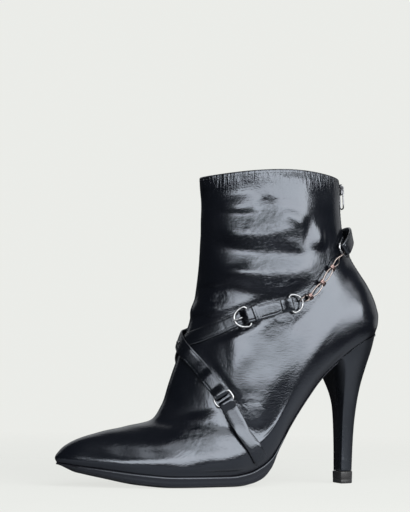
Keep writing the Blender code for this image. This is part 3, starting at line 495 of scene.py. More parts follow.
def node_group(name, inputs, outputs):
    """An empty shader group with named sockets, as (group, entry node, exit node)."""
    group = bpy.data.node_groups.new(name, "ShaderNodeTree")
    for label, kind, value in inputs:
        socket = group.interface.new_socket(label, in_out="INPUT", socket_type=kind)
        if value is not None:
            socket.default_value = value
    for label, kind in outputs:
        group.interface.new_socket(label, in_out="OUTPUT", socket_type=kind)
    return group, group.nodes.new("NodeGroupInput"), group.nodes.new("NodeGroupOutput")


class Sheet:
    """Short ways to place and join nodes in one tree."""

    def __init__(self, tree):
        self.tree = tree

    def add(self, kind, settings=None, **inputs):
        node = self.tree.nodes.new(kind)
        for key, value in (settings or {}).items():
            setattr(node, key, value)
        for key, value in inputs.items():
            self.set(node, key.replace("_", " "), value)
        return node

    def set(self, node, key, value):
        socket = node.inputs[int(key)] if key.isdigit() else node.inputs[key]
        if isinstance(value, bpy.types.NodeSocket):
            self.tree.links.new(value, socket)
        else:
            socket.default_value = value

    def math(self, operation, first, second=0.0):
        node = self.tree.nodes.new("ShaderNodeMath")
        node.operation = operation
        self.set(node, "0", first)
        self.set(node, "1", second)
        return node.outputs[0]

    def spread(self, value, low, high, new_low, new_high):
        node = self.tree.nodes.new("ShaderNodeMapRange")
        self.set(node, "Value", value)
        for key, number in (("From Min", low), ("From Max", high), ("To Min", new_low), ("To Max", new_high)):
            self.set(node, key, number)
        return node.outputs["Result"]

    def mix(self, share, first, second):
        node = self.tree.nodes.new("ShaderNodeMix")
        node.data_type = "RGBA"
        self.set(node, "0", share)
        self.set(node, "6", first)
        self.set(node, "7", second)
        return node.outputs[2]


def place_group():
    """Node group: the spot on the surface in millimetres."""
    group, entry, leave = node_group("place_in_mm", (), (("Place", "NodeSocketVector"),))
    sheet = Sheet(group)
    spot = sheet.add("ShaderNodeTexCoord")
    scaled = sheet.add("ShaderNodeVectorMath", {"operation": "SCALE"})
    sheet.set(scaled, "0", spot.outputs["Object"])
    sheet.set(scaled, "Scale", 1 / MM)
    group.links.new(scaled.outputs[0], leave.inputs["Place"])
    return group


PLACE = place_group()


def grain_group():
    """Node group: the pores and fine wrinkles of smooth calf leather, as a height from 0 to 1."""
    inputs = (("Place", "NodeSocketVector", None), ("Cells per mm", "NodeSocketFloat", 1.1),
              ("Wrinkle share", "NodeSocketFloat", 0.5))
    outputs = (("Height", "NodeSocketFloat"), ("Tone", "NodeSocketFloat"))
    group, entry, leave = node_group("leather_grain", inputs, outputs)
    sheet = Sheet(group)
    place = entry.outputs["Place"]
    cells = sheet.add("ShaderNodeTexVoronoi", {"feature": "SMOOTH_F1"}, Vector=place,
                      Scale=entry.outputs["Cells per mm"], Smoothness=0.6)
    wrinkles = sheet.add("ShaderNodeTexNoise", Vector=place, Scale=0.45, Detail=3.0, Distortion=1.2)
    patches = sheet.add("ShaderNodeTexNoise", Vector=place, Scale=0.05, Detail=2.0)
    share = entry.outputs["Wrinkle share"]
    height = sheet.math("ADD", sheet.math("MULTIPLY", wrinkles.outputs["Fac"], share),
                        sheet.math("MULTIPLY", cells.outputs["Distance"], sheet.math("SUBTRACT", 1.0, share)))
    group.links.new(height, leave.inputs["Height"])
    group.links.new(patches.outputs["Fac"], leave.inputs["Tone"])
    return group


GRAIN = grain_group()


def scuff_group():
    """Node group: thin pale scratches and rubbed spots, as a mask from 0 to 1."""
    inputs = (("Place", "NodeSocketVector", None), ("Amount", "NodeSocketFloat", 0.5))
    group, entry, leave = node_group("scuffs", inputs, (("Mask", "NodeSocketFloat"),))
    sheet = Sheet(group)
    stretch = sheet.add("ShaderNodeMapping", Vector=entry.outputs["Place"], Scale=(0.12, 0.5, 1.1),
                        Rotation=(0.3, 0.7, 0.4))
    lines = sheet.add("ShaderNodeTexNoise", Vector=stretch.outputs["Vector"], Scale=1.0, Detail=4.0)
    where = sheet.add("ShaderNodeTexNoise", Vector=entry.outputs["Place"], Scale=0.09, Detail=2.0)
    sharp = sheet.spread(lines.outputs["Fac"], 0.64, 0.72, 0.0, 1.0)
    area = sheet.spread(where.outputs["Fac"], 0.5, 0.65, 0.0, 1.0)
    mask = sheet.math("MULTIPLY", sheet.math("MULTIPLY", sharp, area), entry.outputs["Amount"])
    group.links.new(mask, leave.inputs["Mask"])
    return group


SCUFFS = scuff_group()


def new_look(name):
    """An empty Principled material, as (material, sheet, shader)."""
    look = bpy.data.materials.new(name)
    look.use_nodes = True
    return look, Sheet(look.node_tree), look.node_tree.nodes["Principled BSDF"]


def use_group(sheet, group, **inputs):
    """A group placed in a material with its own values."""
    node = sheet.tree.nodes.new("ShaderNodeGroup")
    node.node_tree = group
    for key, value in inputs.items():
        sheet.set(node, key.replace("_", " "), value)
    return node


def mask_of(sheet, name):
    """The values painted on a mesh under that name."""
    return sheet.add("ShaderNodeAttribute", {"attribute_name": name}).outputs["Fac"]


def placed_look(name):
    """A material that knows its place in millimetres, as (material, sheet, shader, place)."""
    look, sheet, shader = new_look(name)
    return look, sheet, shader, use_group(sheet, PLACE).outputs["Place"]


def grained_look(name, cells_per_mm, wrinkle_share):
    """A leather material with its grain, as (material, sheet, shader, place, grain)."""
    look, sheet, shader, place = placed_look(name)
    grain = use_group(sheet, GRAIN, Place=place, Cells_per_mm=cells_per_mm, Wrinkle_share=wrinkle_share)
    return look, sheet, shader, place, grain


def emboss(sheet, shader, height, strength, distance):
    """Relief of a height; the distance is in metres."""
    bump_node = sheet.add("ShaderNodeBump", Height=height, Strength=strength, Distance=distance)
    sheet.set(shader, "Normal", bump_node.outputs["Normal"])


TONE_RANGE = (0.3, 0.7)
UPPER_BLACK = (0.0012, 0.0015, 0.0024, 1.0)
UPPER_WORN = (0.0030, 0.0034, 0.0046, 1.0)
COOL_SHINE = (0.84, 0.90, 1.0, 1.0)
COLLAR_WRINKLE = 1.7
COLLAR_WRINKLE_REACH = 16.0
UPPER_ROUGHNESS = (0.15, 0.22)
GRAIN_RELIEF = 0.22
LEVEL_LINE_RELIEF = 0.4
SOFT_WAVE_RELIEF = 4.0


def upper_look():
    look, sheet, shader, place, grain = grained_look("upper_leather", 1.0, 0.6)
    around = sheet.add("ShaderNodeMapping", Vector=place, Scale=(0.55, 0.55, 0.05)).outputs["Vector"]
    upright = sheet.add("ShaderNodeTexNoise", Vector=around, Scale=1.0, Detail=3.0, Distortion=0.3)
    fine = sheet.add("ShaderNodeTexNoise", Vector=place, Scale=0.62, Detail=3.0, Distortion=2.2)
    level = sheet.add("ShaderNodeMapping", Vector=place, Scale=(0.06, 0.06, 0.5)).outputs["Vector"]
    lines = sheet.add("ShaderNodeTexNoise", Vector=level, Scale=1.0, Detail=2.0, Distortion=0.8)
    soft = sheet.add("ShaderNodeTexNoise", Vector=place, Scale=0.17, Detail=2.0)
    near_collar = mask_of(sheet, "collar_wrinkles")
    near_crease = mask_of(sheet, "fine_creases")
    height = sheet.math("MULTIPLY", grain.outputs["Height"], GRAIN_RELIEF)
    level_lines = sheet.math("MULTIPLY", lines.outputs["Fac"], LEVEL_LINE_RELIEF)
    creased = sheet.math("ADD", sheet.math("ADD", fine.outputs["Fac"], level_lines),
                         sheet.math("MULTIPLY", soft.outputs["Fac"], SOFT_WAVE_RELIEF))
    height = sheet.math("ADD", height, sheet.math("MULTIPLY", upright.outputs["Fac"], near_collar))
    height = sheet.math("ADD", height, sheet.math("MULTIPLY", creased, near_crease))
    emboss(sheet, shader, height, 1.0, 0.0006)
    sheet.set(shader, "Base Color", sheet.mix(grain.outputs["Tone"], UPPER_BLACK, UPPER_WORN))
    sheet.set(shader, "Roughness", sheet.spread(grain.outputs["Tone"], *TONE_RANGE, *UPPER_ROUGHNESS))
    shader.inputs["Specular Tint"].default_value = COOL_SHINE
    return look


UPPER_LOOK = upper_look()
LEATHER_WALL = 1.0
WALL_LEVEL_ROWS = 6
RIM_STEPS = 8
RIM_THICKNESS = 2.2
CREASE_COLUMNS = ("side", "x", "z", "reach", "amount")
CREASE_ROWS = (
    (1, 148, 34, 19, 0.75),
    (1, 112, 52, 13, 0.60),
    (1, 100, 180, 30, 0.34),
    (1, 94, 153, 32, 0.34),
    (1, 130, 126, 14, 0.45),
    (1, 96, 114, 16, 0.25),
    (-1, 146, 35, 16, 0.45),
    (-1, 95, 165, 36, 0.30),
)
creases = [dict(zip(CREASE_COLUMNS, row)) for row in CREASE_ROWS]


def crease_amount(point, side):
    """How finely creased the leather is at one spot."""
    total = 0.0
    for spot in creases:
        if spot["side"] == side:
            away = sqrt((point.x - spot["x"]) ** 2 + (point.z - spot["z"]) ** 2) / spot["reach"]
            total = max(total, spot["amount"] * (1 - smooth_step(away)))
    return total


leather_normals = grid_normals(leather_rings)


def wall_rings(depth):
    """The leather's rings moved inward by depth, level near the top and bottom edges."""
    rows = []
    last = len(leather_rings) - 1
    for j, points in enumerate(leather_rings):
        level = min(1.0, j / WALL_LEVEL_ROWS, (last - j) / WALL_LEVEL_ROWS)
        row = []
        for point, normal in zip(points, leather_normals[j]):
            turned = Vector((normal.x, normal.y, normal.z * level)).normalized()
            inside = point - depth * turned
            if j == 0:
                inside.z = sole["seam_z"](inside.x)
            row.append(inside)
        rows.append(row)
    return rows


inside_rings = wall_rings(LEATHER_WALL)
inside_rings[-1] = wall_rings(RIM_THICKNESS)[-1]
rim_rings = []
for k in range(1, RIM_STEPS):
    turn = pi * k / RIM_STEPS
    row = []
    for outside, inside in zip(leather_rings[-1], inside_rings[-1]):
        middle = (outside + inside) / 2
        row.append(middle + (outside - middle) * cos(turn) + Vector((0, 0, RIM_THICKNESS / 2 * sin(turn))))
    rim_rings.append(row)
shell_rings = leather_rings + rim_rings + inside_rings[::-1]
collar_mask = []
crease_mask = []
for row in shell_rings:
    for i, point in enumerate(row):
        from_top = (last_rings[-1][i] - point).length
        collar_mask.append(COLLAR_WRINKLE * (1 - smooth_step(from_top / COLLAR_WRINKLE_REACH)))
        crease_mask.append(crease_amount(point, 1 if i <= RING_STEPS else -1))
lofted("upper_leather", shell_rings, UPPER_LOOK, ["upper"], closed=True,
       masks={"collar_wrinkles": collar_mask, "fine_creases": crease_mask})

# Lining
# A thin soft leather lining that backs the upper all the way down, glued to it and stitched in at the
# collar, where it stops just below the turned edge.
LINING_GAP = 0.15
LINING_DEPTH = 1.7
LINING_TOP_ROWS = 2
LINING_ROW_SKIP = 2
LINING_BROWN = (0.020, 0.018, 0.017, 1.0)
LINING_RUBBED = (0.050, 0.044, 0.040, 1.0)


def lining_look():
    look, sheet, shader, place, grain = grained_look("lining_leather", 1.6, 0.3)
    emboss(sheet, shader, grain.outputs["Height"], 0.6, 0.0003)
    sheet.set(shader, "Base Color", sheet.mix(grain.outputs["Tone"], LINING_BROWN, LINING_RUBBED))
    sheet.set(shader, "Roughness", sheet.spread(grain.outputs["Height"], 0.0, 1.0, 0.5, 0.7))
    return look


LINING_LOOK = lining_look()
lining_outside = wall_rings(LEATHER_WALL + LINING_GAP)
lining_inside = wall_rings(LINING_DEPTH)
lining_rows = list(range(0, len(leather_rings) - LINING_TOP_ROWS, LINING_ROW_SKIP))
lining_rings = [lining_outside[j] for j in lining_rows] + [lining_inside[j] for j in lining_rows[::-1]]
lofted("upper_lining", lining_rings, LINING_LOOK, closed=True)

# Stitching
# Rows of black thread sewn through upper and lining: one round the collar, just below its turned edge,
# and one down each side of the zip.
STITCH_LENGTH = 1.9
STITCH_GAP = 0.7
THREAD_RADIUS = 0.18
THREAD_SIDES = 6
STITCH_LIFT = 0.1
STITCH_SINK = 0.22
COLLAR_STITCH_DROP = 1.5
ZIP_STITCH_ASIDE = 6.4
ZIP_STITCH_ENDS = 4.0
ZIP_STITCH_STEP = 1.5
ZIP_STITCH_START = 0.5
COLLAR_STITCH_ENDS = 1.0
COLLAR_ZIP_POINTS = 3
COLLAR_ROWS = 12
ROUTE_SPAN = 3
THREAD_BLACK = (0.004, 0.004, 0.005, 1)
THREAD_PALE = (0.016, 0.016, 0.018, 1)
# One stitch: share of its length, and width as a share of the thread's
STITCH_ROWS = ((0.0, 0.3), (0.12, 0.85), (0.5, 1.0), (0.88, 0.85), (1.0, 0.3))


def spot_on(points, lengths, distance):
    """Spot at a length along a line of points."""
    distance = min(max(distance, 0.0), lengths[-1])
    i = min(max(bisect_left(lengths, distance) - 1, 0), len(points) - 2)
    u = (distance - lengths[i]) / max(lengths[i + 1] - lengths[i], 1e-9)
    return points[i].lerp(points[i + 1], u)


def along_route(path, s):
    """Spot, direction, side and normal at length s along a route."""
    dense, lengths = path
    spot = spot_on(dense, lengths, s)
    along = (spot_on(dense, lengths, s + ROUTE_SPAN) - spot_on(dense, lengths, s - ROUTE_SPAN)).normalized()
    normal = Vector((0, 0, 0))
    for ahead in (-ROUTE_SPAN, 0, ROUTE_SPAN):
        normal += skin.find_nearest(spot_on(dense, lengths, s + ahead))[1]
    normal = (normal - along * normal.dot(along)).normalized()
    return spot, along, normal.cross(along), normal


def on_skin(path, s, w, h):
    """A spot h above the last, w to the side of a route at length s."""
    spot, along, side, normal = along_route(path, s)
    ground, face_normal = skin.find_nearest(spot + side * w)[:2]
    lean = (face_normal + normal).normalized()
    return ground + lean * h


def add_part(parts, sections, closed=False):
    """Add one closed loft to a list of (points, faces)."""
    points = [p for section in sections for p in section]
    parts.append((points, outward(points, section_faces(len(sections), len(sections[0]), closed))))


def join_parts(parts):
    """One list of points and faces from many closed parts."""
    points = []
    faces = []
    for part_points, part_faces in parts:
        start = len(points)
        points += part_points
        faces += [tuple(start + i for i in face) for face in part_faces]
    return points, faces


def wire_sections(path, radii, sides, closed=False):
    """Round sections along a path."""
    count = len(path)
    sections = []
    lift = None
    for i, spot in enumerate(path):
        ahead = path[(i + 1) % count] if closed or i < count - 1 else path[i]
        behind = path[i - 1] if closed or i > 0 else path[i]
        along = (ahead - behind).normalized()
        if lift is None:
            lift = along.orthogonal().normalized()
        lift = (lift - along * lift.dot(along)).normalized()
        across = along.cross(lift)
        angles = [2 * pi * k / sides for k in range(sides)]
        sections.append([spot + radii[i] * (cos(a) * lift + sin(a) * across) for a in angles])
    return sections


def sew(parts, line, start, stop):
    """Stitches along a line of spots on the leather."""
    lengths = run_lengths(line)
    at = start
    while at + STITCH_LENGTH < stop:
        path = []
        radii = []
        for share, wide in STITCH_ROWS:
            spot = spot_on(line, lengths, at + share * STITCH_LENGTH)
            normal = skin.find_nearest(spot)[1]
            sunk = STITCH_LIFT - STITCH_SINK * (2 * share - 1) ** 4
            path.append(spot + normal * sunk)
            radii.append(THREAD_RADIUS * wide)
        add_part(parts, wire_sections(path, radii, THREAD_SIDES))
        at += STITCH_LENGTH + STITCH_GAP


def below_collar(i, drop):
    """Spot on the leather at a given drop below the collar's edge."""
    column = [row[i] for row in leather_rings[::-1]]
    return spot_on(column, run_lengths(column[:COLLAR_ROWS]), drop)


def thread_look():
    look, sheet, shader, place = placed_look("black_thread")
    twist = sheet.add("ShaderNodeTexWave", {"bands_direction": "DIAGONAL"}, Vector=place, Scale=1.4)
    emboss(sheet, shader, twist.outputs["Fac"], 0.5, 0.0001)
    sheet.set(shader, "Base Color", sheet.mix(twist.outputs["Fac"], THREAD_BLACK, THREAD_PALE))
    shader.inputs["Roughness"].default_value = 0.5
    return look


stitches = []
collar_line = [below_collar(i, COLLAR_STITCH_DROP)
               for i in range(COLLAR_ZIP_POINTS, ring_count - COLLAR_ZIP_POINTS + 1)]
sew(stitches, collar_line, COLLAR_STITCH_ENDS, run_lengths(collar_line)[-1] - COLLAR_STITCH_ENDS)
zip_length = zip_path[1][-1]
zip_stops = int((zip_length - 2 * ZIP_STITCH_ENDS) / ZIP_STITCH_STEP)
for aside in (-ZIP_STITCH_ASIDE, ZIP_STITCH_ASIDE):
    line = [on_skin(zip_path, ZIP_STITCH_ENDS + ZIP_STITCH_STEP * k, aside, 0.0)
            for k in range(zip_stops + 1)]
    sew(stitches, line, ZIP_STITCH_START, run_lengths(line)[-1])
stitch_points, stitch_faces = join_parts(stitches)
piece("collar_stitches", stitch_points, stitch_faces, thread_look())

# Insole
# Board and padded leather sock that close the bottom of the upper and carry the foot. It lies between
# the lasted edges, glued down.
INSOLE_THICKNESS = 2.4
INSOLE_STEPS = 90
INSOLE_INSET = 2.0
INSOLE_EDGE = 0.6
INSOLE_ACROSS = (1.0, 0.7, 0.35)
INSOLE_PUFF = 0.5
INSOLE_PUFF_SPAN = 20
INSOLE_ENDS = (0.002, 0.9985)


def seam_edge(t, side, grow):
    """A point of the sole seam moved outward in plan by grow."""
    step = 0.002
    here = upper_point(0, t, side)
    before = upper_point(0, max(0.0, t - step), side)
    after = upper_point(0, min(1.0, t + step), side)
    along = Vector((after.x - before.x, after.y - before.y, 0)).normalized()
    out = Vector((-along.y, along.x, 0)) * side
    return here + grow * out


insole_sections = []
for k in range(INSOLE_STEPS + 1):
    t = min(max((1 - cos(pi * k / INSOLE_STEPS)) / 2, INSOLE_ENDS[0]), INSOLE_ENDS[1])
    halves = []
    for side in (1, -1):
        edge = seam_edge(t, side, -INSOLE_INSET)
        seam = sole["seam_z"](edge.x)
        middle = middle_y(edge.x)
        span = edge.y - middle
        rows = [(1.0, 0.0), (1.0, INSOLE_THICKNESS - INSOLE_EDGE)]
        for share in INSOLE_ACROSS:
            inset = INSOLE_EDGE / max(abs(span), 1.0) if share == 1.0 else 0.0
            puff = INSOLE_PUFF * (1 - share * share) * min(1.0, abs(span) / INSOLE_PUFF_SPAN)
            rows.append((share - inset, INSOLE_THICKNESS + puff))
        halves.append([Vector((edge.x, middle + span * share, seam + up)) for share, up in rows])
    insole_sections.append(halves[0] + halves[1][::-1])
lofted("insole_sock", insole_sections, LINING_LOOK, ["insole"])

# Outsole
# Black leather sole cut from the toe to the heel's breast and cemented under the upper, with a thin
# polished lip along its top edge, rounded edges and a roughened tread under the ball.
SEAM_GAP = 0.5
LIP_GAP = 0.1
SOLE_STEPS = 170
LIP_HEIGHT = 1.7
LIP_STEP = 0.5
LIP_ROUND = 0.9
SOLE_ROUND_IN = 10.0
SOLE_ROUND_UP = 1.8
SOLE_CORNER = 0.5
SOLE_BEVEL = 0.8
NARROW_SPAN = 6.0
TIP_TAPER = 16.0
TIP_THIN = 0.3
THIN_SOLE = 5.0
LIP_SHARE = 0.4
ROUND_SHARE = 0.4
BREAST_X = 42.0
SOLE_END = 0.9995
CORNER_ABOVE = 0.2
SOLE_ROUGHNESS = (0.26, 0.62)
# Along the half section from the seam to the tread: how rubbed each point is, and how much underneath
SOLE_ROW_EDGE = (0.4, 1.0, 1.0, 1.0, 0.3, 0.2, 0.5, 0.4, 0.0, 0.0)
SOLE_ROW_UNDER = (0.0, 0.0, 0.0, 0.0, 0.0, 0.0, 0.0, 0.3, 1.0, 1.0)
SOLE_BLACK = (0.0016, 0.0016, 0.0024, 1.0)
SOLE_RUBBED = (0.0050, 0.0048, 0.0062, 1.0)
SOLE_DUST = (0.09, 0.085, 0.078, 1.0)


def sole_look():
    look, sheet, shader, place, grain = grained_look("sole_leather", 1.3, 0.4)
    scuffs = use_group(sheet, SCUFFS, Place=place, Amount=0.8).outputs["Mask"]
    rubbed = sheet.math("MULTIPLY", mask_of(sheet, "rubbed_edge"), 0.5)
    under = mask_of(sheet, "under_side")
    colour = sheet.mix(rubbed, SOLE_BLACK, SOLE_RUBBED)
    colour = sheet.mix(sheet.math("MULTIPLY", scuffs, under), colour, SOLE_DUST)
    tread = sheet.add("ShaderNodeTexVoronoi", Vector=place, Scale=0.8)
    height = sheet.math("ADD", sheet.math("MULTIPLY", grain.outputs["Height"], 0.3),
                        sheet.math("MULTIPLY", tread.outputs["Distance"], under))
    emboss(sheet, shader, height, 0.7, 0.0004)
    sheet.set(shader, "Base Color", colour)
    sheet.set(shader, "Roughness", sheet.spread(under, 0.0, 1.0, *SOLE_ROUGHNESS))
    shader.inputs["Specular Tint"].default_value = COOL_SHINE
    return look


sole_start = (BREAST_X + GAP - FEATHER_BACK_X) / (FEATHER_FRONT_X - FEATHER_BACK_X)
sole_sections = []
for k in range(SOLE_STEPS + 1):
    t = min(sole_start + (1 - sole_start) * sin(pi / 2 * k / SOLE_STEPS), SOLE_END)
    halves = []
    for side in (1, -1):
        x = FEATHER_BACK_X + t * (FEATHER_FRONT_X - FEATHER_BACK_X)
        edge = seam_edge(t, side, sole["ledge"](x))
        tapered = TIP_THIN + (1 - TIP_THIN) * smooth_step((FEATHER_FRONT_X - edge.x) / TIP_TAPER)
        thick = sole["thickness"](edge.x) * tapered
        top = sole["seam_z"](edge.x) - LIP_GAP
        span = abs(edge.y - middle_y(edge.x))
        shrink = min(1.0, span / NARROW_SPAN, thick / THIN_SOLE)
        lip = min(LIP_HEIGHT, thick * LIP_SHARE)
        bottom = sole["seam_z"](edge.x) - SEAM_GAP - thick
        low = bottom + SOLE_ROUND_UP * shrink
        edge_round = LIP_ROUND * min(1.0, lip)
        waist = top - lip - LIP_STEP * shrink
        corner = max(low + SOLE_CORNER, bottom + CORNER_ABOVE)
        rounded = LIP_STEP + min(SOLE_ROUND_IN, span * ROUND_SHARE)
        # Inset from the edge and height of each point, from the seam down to the tread
        rows = ((edge_round * 1.6, top), (edge_round * 0.4, top - edge_round * 0.4), (0.0, top - edge_round),
                (0.0, top - lip + edge_round * 0.5), (LIP_STEP, waist), (LIP_STEP, (waist + corner) / 2),
                (LIP_STEP * 1.1, corner), (LIP_STEP + SOLE_BEVEL, corner - SOLE_BEVEL * shrink * 0.8),
                (rounded, bottom), (min(rounded * 1.5, span * 0.8), bottom))
        halves.append([Vector((edge.x, edge.y - side * inset * shrink, max(z, bottom))) for inset, z in rows])
    sole_sections.append(halves[0] + halves[1][::-1])
edge_mask = list(SOLE_ROW_EDGE + SOLE_ROW_EDGE[::-1]) * len(sole_sections)
under_mask = list(SOLE_ROW_UNDER + SOLE_ROW_UNDER[::-1]) * len(sole_sections)
lofted("leather_outsole", sole_sections, sole_look(), ["outsole"],
       masks={"rubbed_edge": edge_mask, "under_side": under_mask})

# Heel
# A tall slim block covered in the upper's leather, hollow-backed at the breast and screwed up through
# the seat. A thin dark gap shows where its cover meets the upper at the back.
HEEL_COLUMNS = ("breast_x", "breast_z", "back_x", "back_z", "half_width", "seat_share")
HEEL_ROWS = (
    (30.6, 8.7, 19.7, 8.7, 6.5, 0.0),
    (30.6, 24.0, 19.2, 24.0, 6.9, 0.0),
    (30.7, 40.0, 18.3, 40.0, 7.8, 0.0),
    (30.9, 53.0, 16.4, 56.0, 9.4, 0.0),
    (31.8, 63.0, 13.8, 70.0, 12.4, 0.0),
    (33.8, 71.0, 10.4, 82.0, 17.0, 0.1),
    (37.0, 79.0, 6.8, 93.0, 22.0, 0.4),
    (42.0, 87.8, 3.9, 109.6, 26.6, 1.0),
)
HEEL_BACK_STEPS = 40
HEEL_RINGS = 90
HEEL_BACK_HALF = 0.25
HEEL_CORNER = 0.35
HEEL_SLIT = 2.7
HEEL_SLIT_REACH = 16.0
HEEL_SLIT_ROWS = 0.25
HEEL_SCUFF_TOP = 60.0
HEEL_ROUGHNESS = (0.26, 0.34)
HEEL_BLACK = (0.0036, 0.0044, 0.0056, 1.0)
HEEL_SCUFF = (0.040, 0.041, 0.044, 1.0)
heel = table_curves(HEEL_COLUMNS, HEEL_ROWS, list(range(len(HEEL_ROWS))))


def heel_ring(row, grow=0.0, corner=HEEL_CORNER):
    """One section of the heel, flat at the breast with soft corners and round at the back."""
    breast_x = heel["breast_x"](row) + grow
    back_x = heel["back_x"](row) - grow
    half = heel["half_width"](row) + grow
    seat = heel["seat_share"](row)
    depth = breast_x - back_x
    top_row = len(HEEL_ROWS) - 1
    slit_here = smooth_step(1 - (top_row - row) / HEEL_SLIT_ROWS)
    halves = []
    for side in (1, -1):
        points = []
        for k in range(HEEL_BACK_STEPS + 1):
            turn = pi / 2 * k / HEEL_BACK_STEPS
            x = back_x + depth * (1 - sin(turn))
            wide = half * cos(turn)
            t = (x - FEATHER_BACK_X) / (FEATHER_FRONT_X - FEATHER_BACK_X)
            seat_wide = half_width(0, max(t, 0.0), side)
            if k == HEEL_BACK_STEPS:
                wide = seat_wide = HEEL_BACK_HALF
            rise = heel["back_z"](row) - heel["breast_z"](row)
            flat = heel["breast_z"](row) + rise * (breast_x - x) / depth
            z = flat * (1 - seat) + (sole["seam_z"](x) - SEAM_GAP) * seat
            z -= HEEL_SLIT * slit_here * smooth_step(1 - (x - back_x) / HEEL_SLIT_REACH)
            across = wide * (1 - seat) + seat_wide * seat
            near = max(0.0, 1 - (breast_x - x) / corner)
            across -= corner * (1 - sqrt(max(0.0, 1 - near * near)))
            points.append(Vector((x, side * max(across, HEEL_BACK_HALF), z)))
        halves.append(points)
    return halves[0] + halves[1][::-1]


def heel_look():
    look, sheet, shader, place, grain = grained_look("heel_leather", 1.3, 0.35)
    scuffs = use_group(sheet, SCUFFS, Place=place, Amount=0.7).outputs["Mask"]
    low = mask_of(sheet, "near_floor")
    marks = sheet.math("MULTIPLY", scuffs, low)
    colour = sheet.mix(grain.outputs["Tone"], HEEL_BLACK, UPPER_WORN)
    sheet.set(shader, "Base Color", sheet.mix(marks, colour, HEEL_SCUFF))
    height = sheet.math("SUBTRACT", sheet.math("MULTIPLY", grain.outputs["Height"], 0.25), marks)
    emboss(sheet, shader, height, 0.7, 0.0003)
    sheet.set(shader, "Roughness", sheet.spread(grain.outputs["Tone"], *TONE_RANGE, *HEEL_ROUGHNESS))
    shader.inputs["Specular Tint"].default_value = COOL_SHINE
    return look


heel_rows = [(len(HEEL_ROWS) - 1) * k / HEEL_RINGS for k in range(HEEL_RINGS + 1)]
heel_sections = [heel_ring(row) for row in heel_rows]
floor_mask = [1 - smooth_step(p.z / HEEL_SCUFF_TOP) for row in heel_sections for p in row]
lofted("covered_heel", heel_sections, heel_look(), ["heel"],
       masks={"near_floor": floor_mask})

# Heel tip
# Moulded black rubber top piece, pinned up into the heel, a little wider than it and worn round its
# lower edge.
# Height of each section, and how far it stands out past the heel
TIP_ROWS = ((0.0, -0.1), (0.12, 0.15), (0.45, 0.32), (2.4, 0.38), (2.6, 0.28), (2.9, 0.28), (3.1, 0.4),
            (7.8, 0.5), (8.25, 0.42), (8.4, 0.2))
TIP_WORN = 0.7
TIP_WORN_BELOW = 0.3
RUBBER_ROUGHNESS = (0.48, 0.66)
RUBBER_GREY = (0.0045, 0.0040, 0.0040, 1.0)
RUBBER_WORN = (0.026, 0.024, 0.022, 1.0)


def rubber_look():
    look, sheet, shader, place = placed_look("tip_rubber")
    specks = sheet.add("ShaderNodeTexNoise", Vector=place, Scale=2.2, Detail=4.0)
    scuffs = use_group(sheet, SCUFFS, Place=place, Amount=1.0).outputs["Mask"]
    worn = sheet.math("MAXIMUM", scuffs, mask_of(sheet, "worn_edge"))
    sheet.set(shader, "Base Color", sheet.mix(worn, RUBBER_GREY, RUBBER_WORN))
    emboss(sheet, shader, specks.outputs["Fac"], 0.6, 0.0002)
    sheet.set(shader, "Roughness", sheet.spread(specks.outputs["Fac"], *TONE_RANGE, *RUBBER_ROUGHNESS))
    return look


tip_sections = [[Vector((p.x, p.y, height)) for p in heel_ring(0, grow)] for height, grow in TIP_ROWS]
worn_mask = [TIP_WORN if p.z < TIP_WORN_BELOW else 0.0 for row in tip_sections for p in row]
lofted("rubber_tip", tip_sections, rubber_look(), ["heel_tip"], masks={"worn_edge": worn_mask})

# Straps
# Flat straps of black leather, two layers glued and stitched, with painted edges and a creased line
# along each side. The edges are lighter grey: edge paint, lightened further by a painted highlight
# along the bevels. They lie on the upper, fold back on themselves round the metal rings and cross at
# the instep.
WIRE = 0.9
STRAP_WIDTH = 10.0
STRAP_THICKNESS = 1.5
SHORT_THICKNESS = 1.0
STRAP_LIFT = 0.4
STRAP_START = 1.0
SHORT_NARROWER = 0.6
STRAP_STEP = 1.1
CROSS_FADE = 21.0
CROSS_FLAT = 1.7
STAND_OFF = 5.0
STAND_REACH = 30.0
RISE_AFTER = 6.0
RISE_SHARE = 0.7
FOLD_STEPS = 14
FOLD_NEAR = 5.0
FOLD_FAR = 9.0
TAB_FOLD_FAR = 11.0
TAB_FOLD_EASE = 30.0
INSTEP_FOLD_NEAR = 6.0
INSTEP_FOLD_FAR = 13.0
INSTEP_FOLD_EASE = 6.0
REAR_FOLD_NEAR = 4.0
REAR_FOLD_FAR = 8.0
REAR_FOLD_START = 1.0
LOWER_RING_DEPTH = 7.0
BUCKLE_RISE = 5.0
RISE_ENDS_BEFORE = 1.5
SETTLE_AFTER = 2.5
SETTLE_OVER = 6.0
TIP_ROUND = 5.0
TIP_WIDTH_SHARE = 0.3
CROSSING = (153, 0, 98)
BUCKLE_BAR_NEAR = (114.6, 34, 116.5)
FREE_END_NEAR = (91, 34, 123.5)
UPPER_RING_NEAR = (84, 34, 125)
LOWER_RING_NEAR = (134.5, 31, 63)
REAR_JOIN_NEAR = (72, -33, 136)
BACK_NEAR = (29, 0, 178)
REAR_RING_NEAR = (37, 20, 166.5)
LAY = STRAP_LIFT + STRAP_THICKNESS / 2
CROSS_RISE = STRAP_THICKNESS + GAP + 0.1
FOLD_RADIUS = WIRE + GAP + STRAP_THICKNESS / 2
SECOND_LAY = LAY + STRAP_THICKNESS + GAP
RING_LIFT = LAY + FOLD_RADIUS
SHORT_LAY = STRAP_LIFT + SHORT_THICKNESS / 2
SHORT_FOLD = WIRE + GAP + SHORT_THICKNESS / 2
SHORT_SECOND = SHORT_LAY + SHORT_THICKNESS + GAP
BAR_LIFT = SHORT_LAY + SHORT_FOLD
OVER_BAR = BAR_LIFT + SHORT_FOLD + SHORT_THICKNESS / 2 + GAP + STRAP_THICKNESS / 2
FREE_LAY = SHORT_SECOND + SHORT_THICKNESS / 2 + GAP + STRAP_THICKNESS / 2
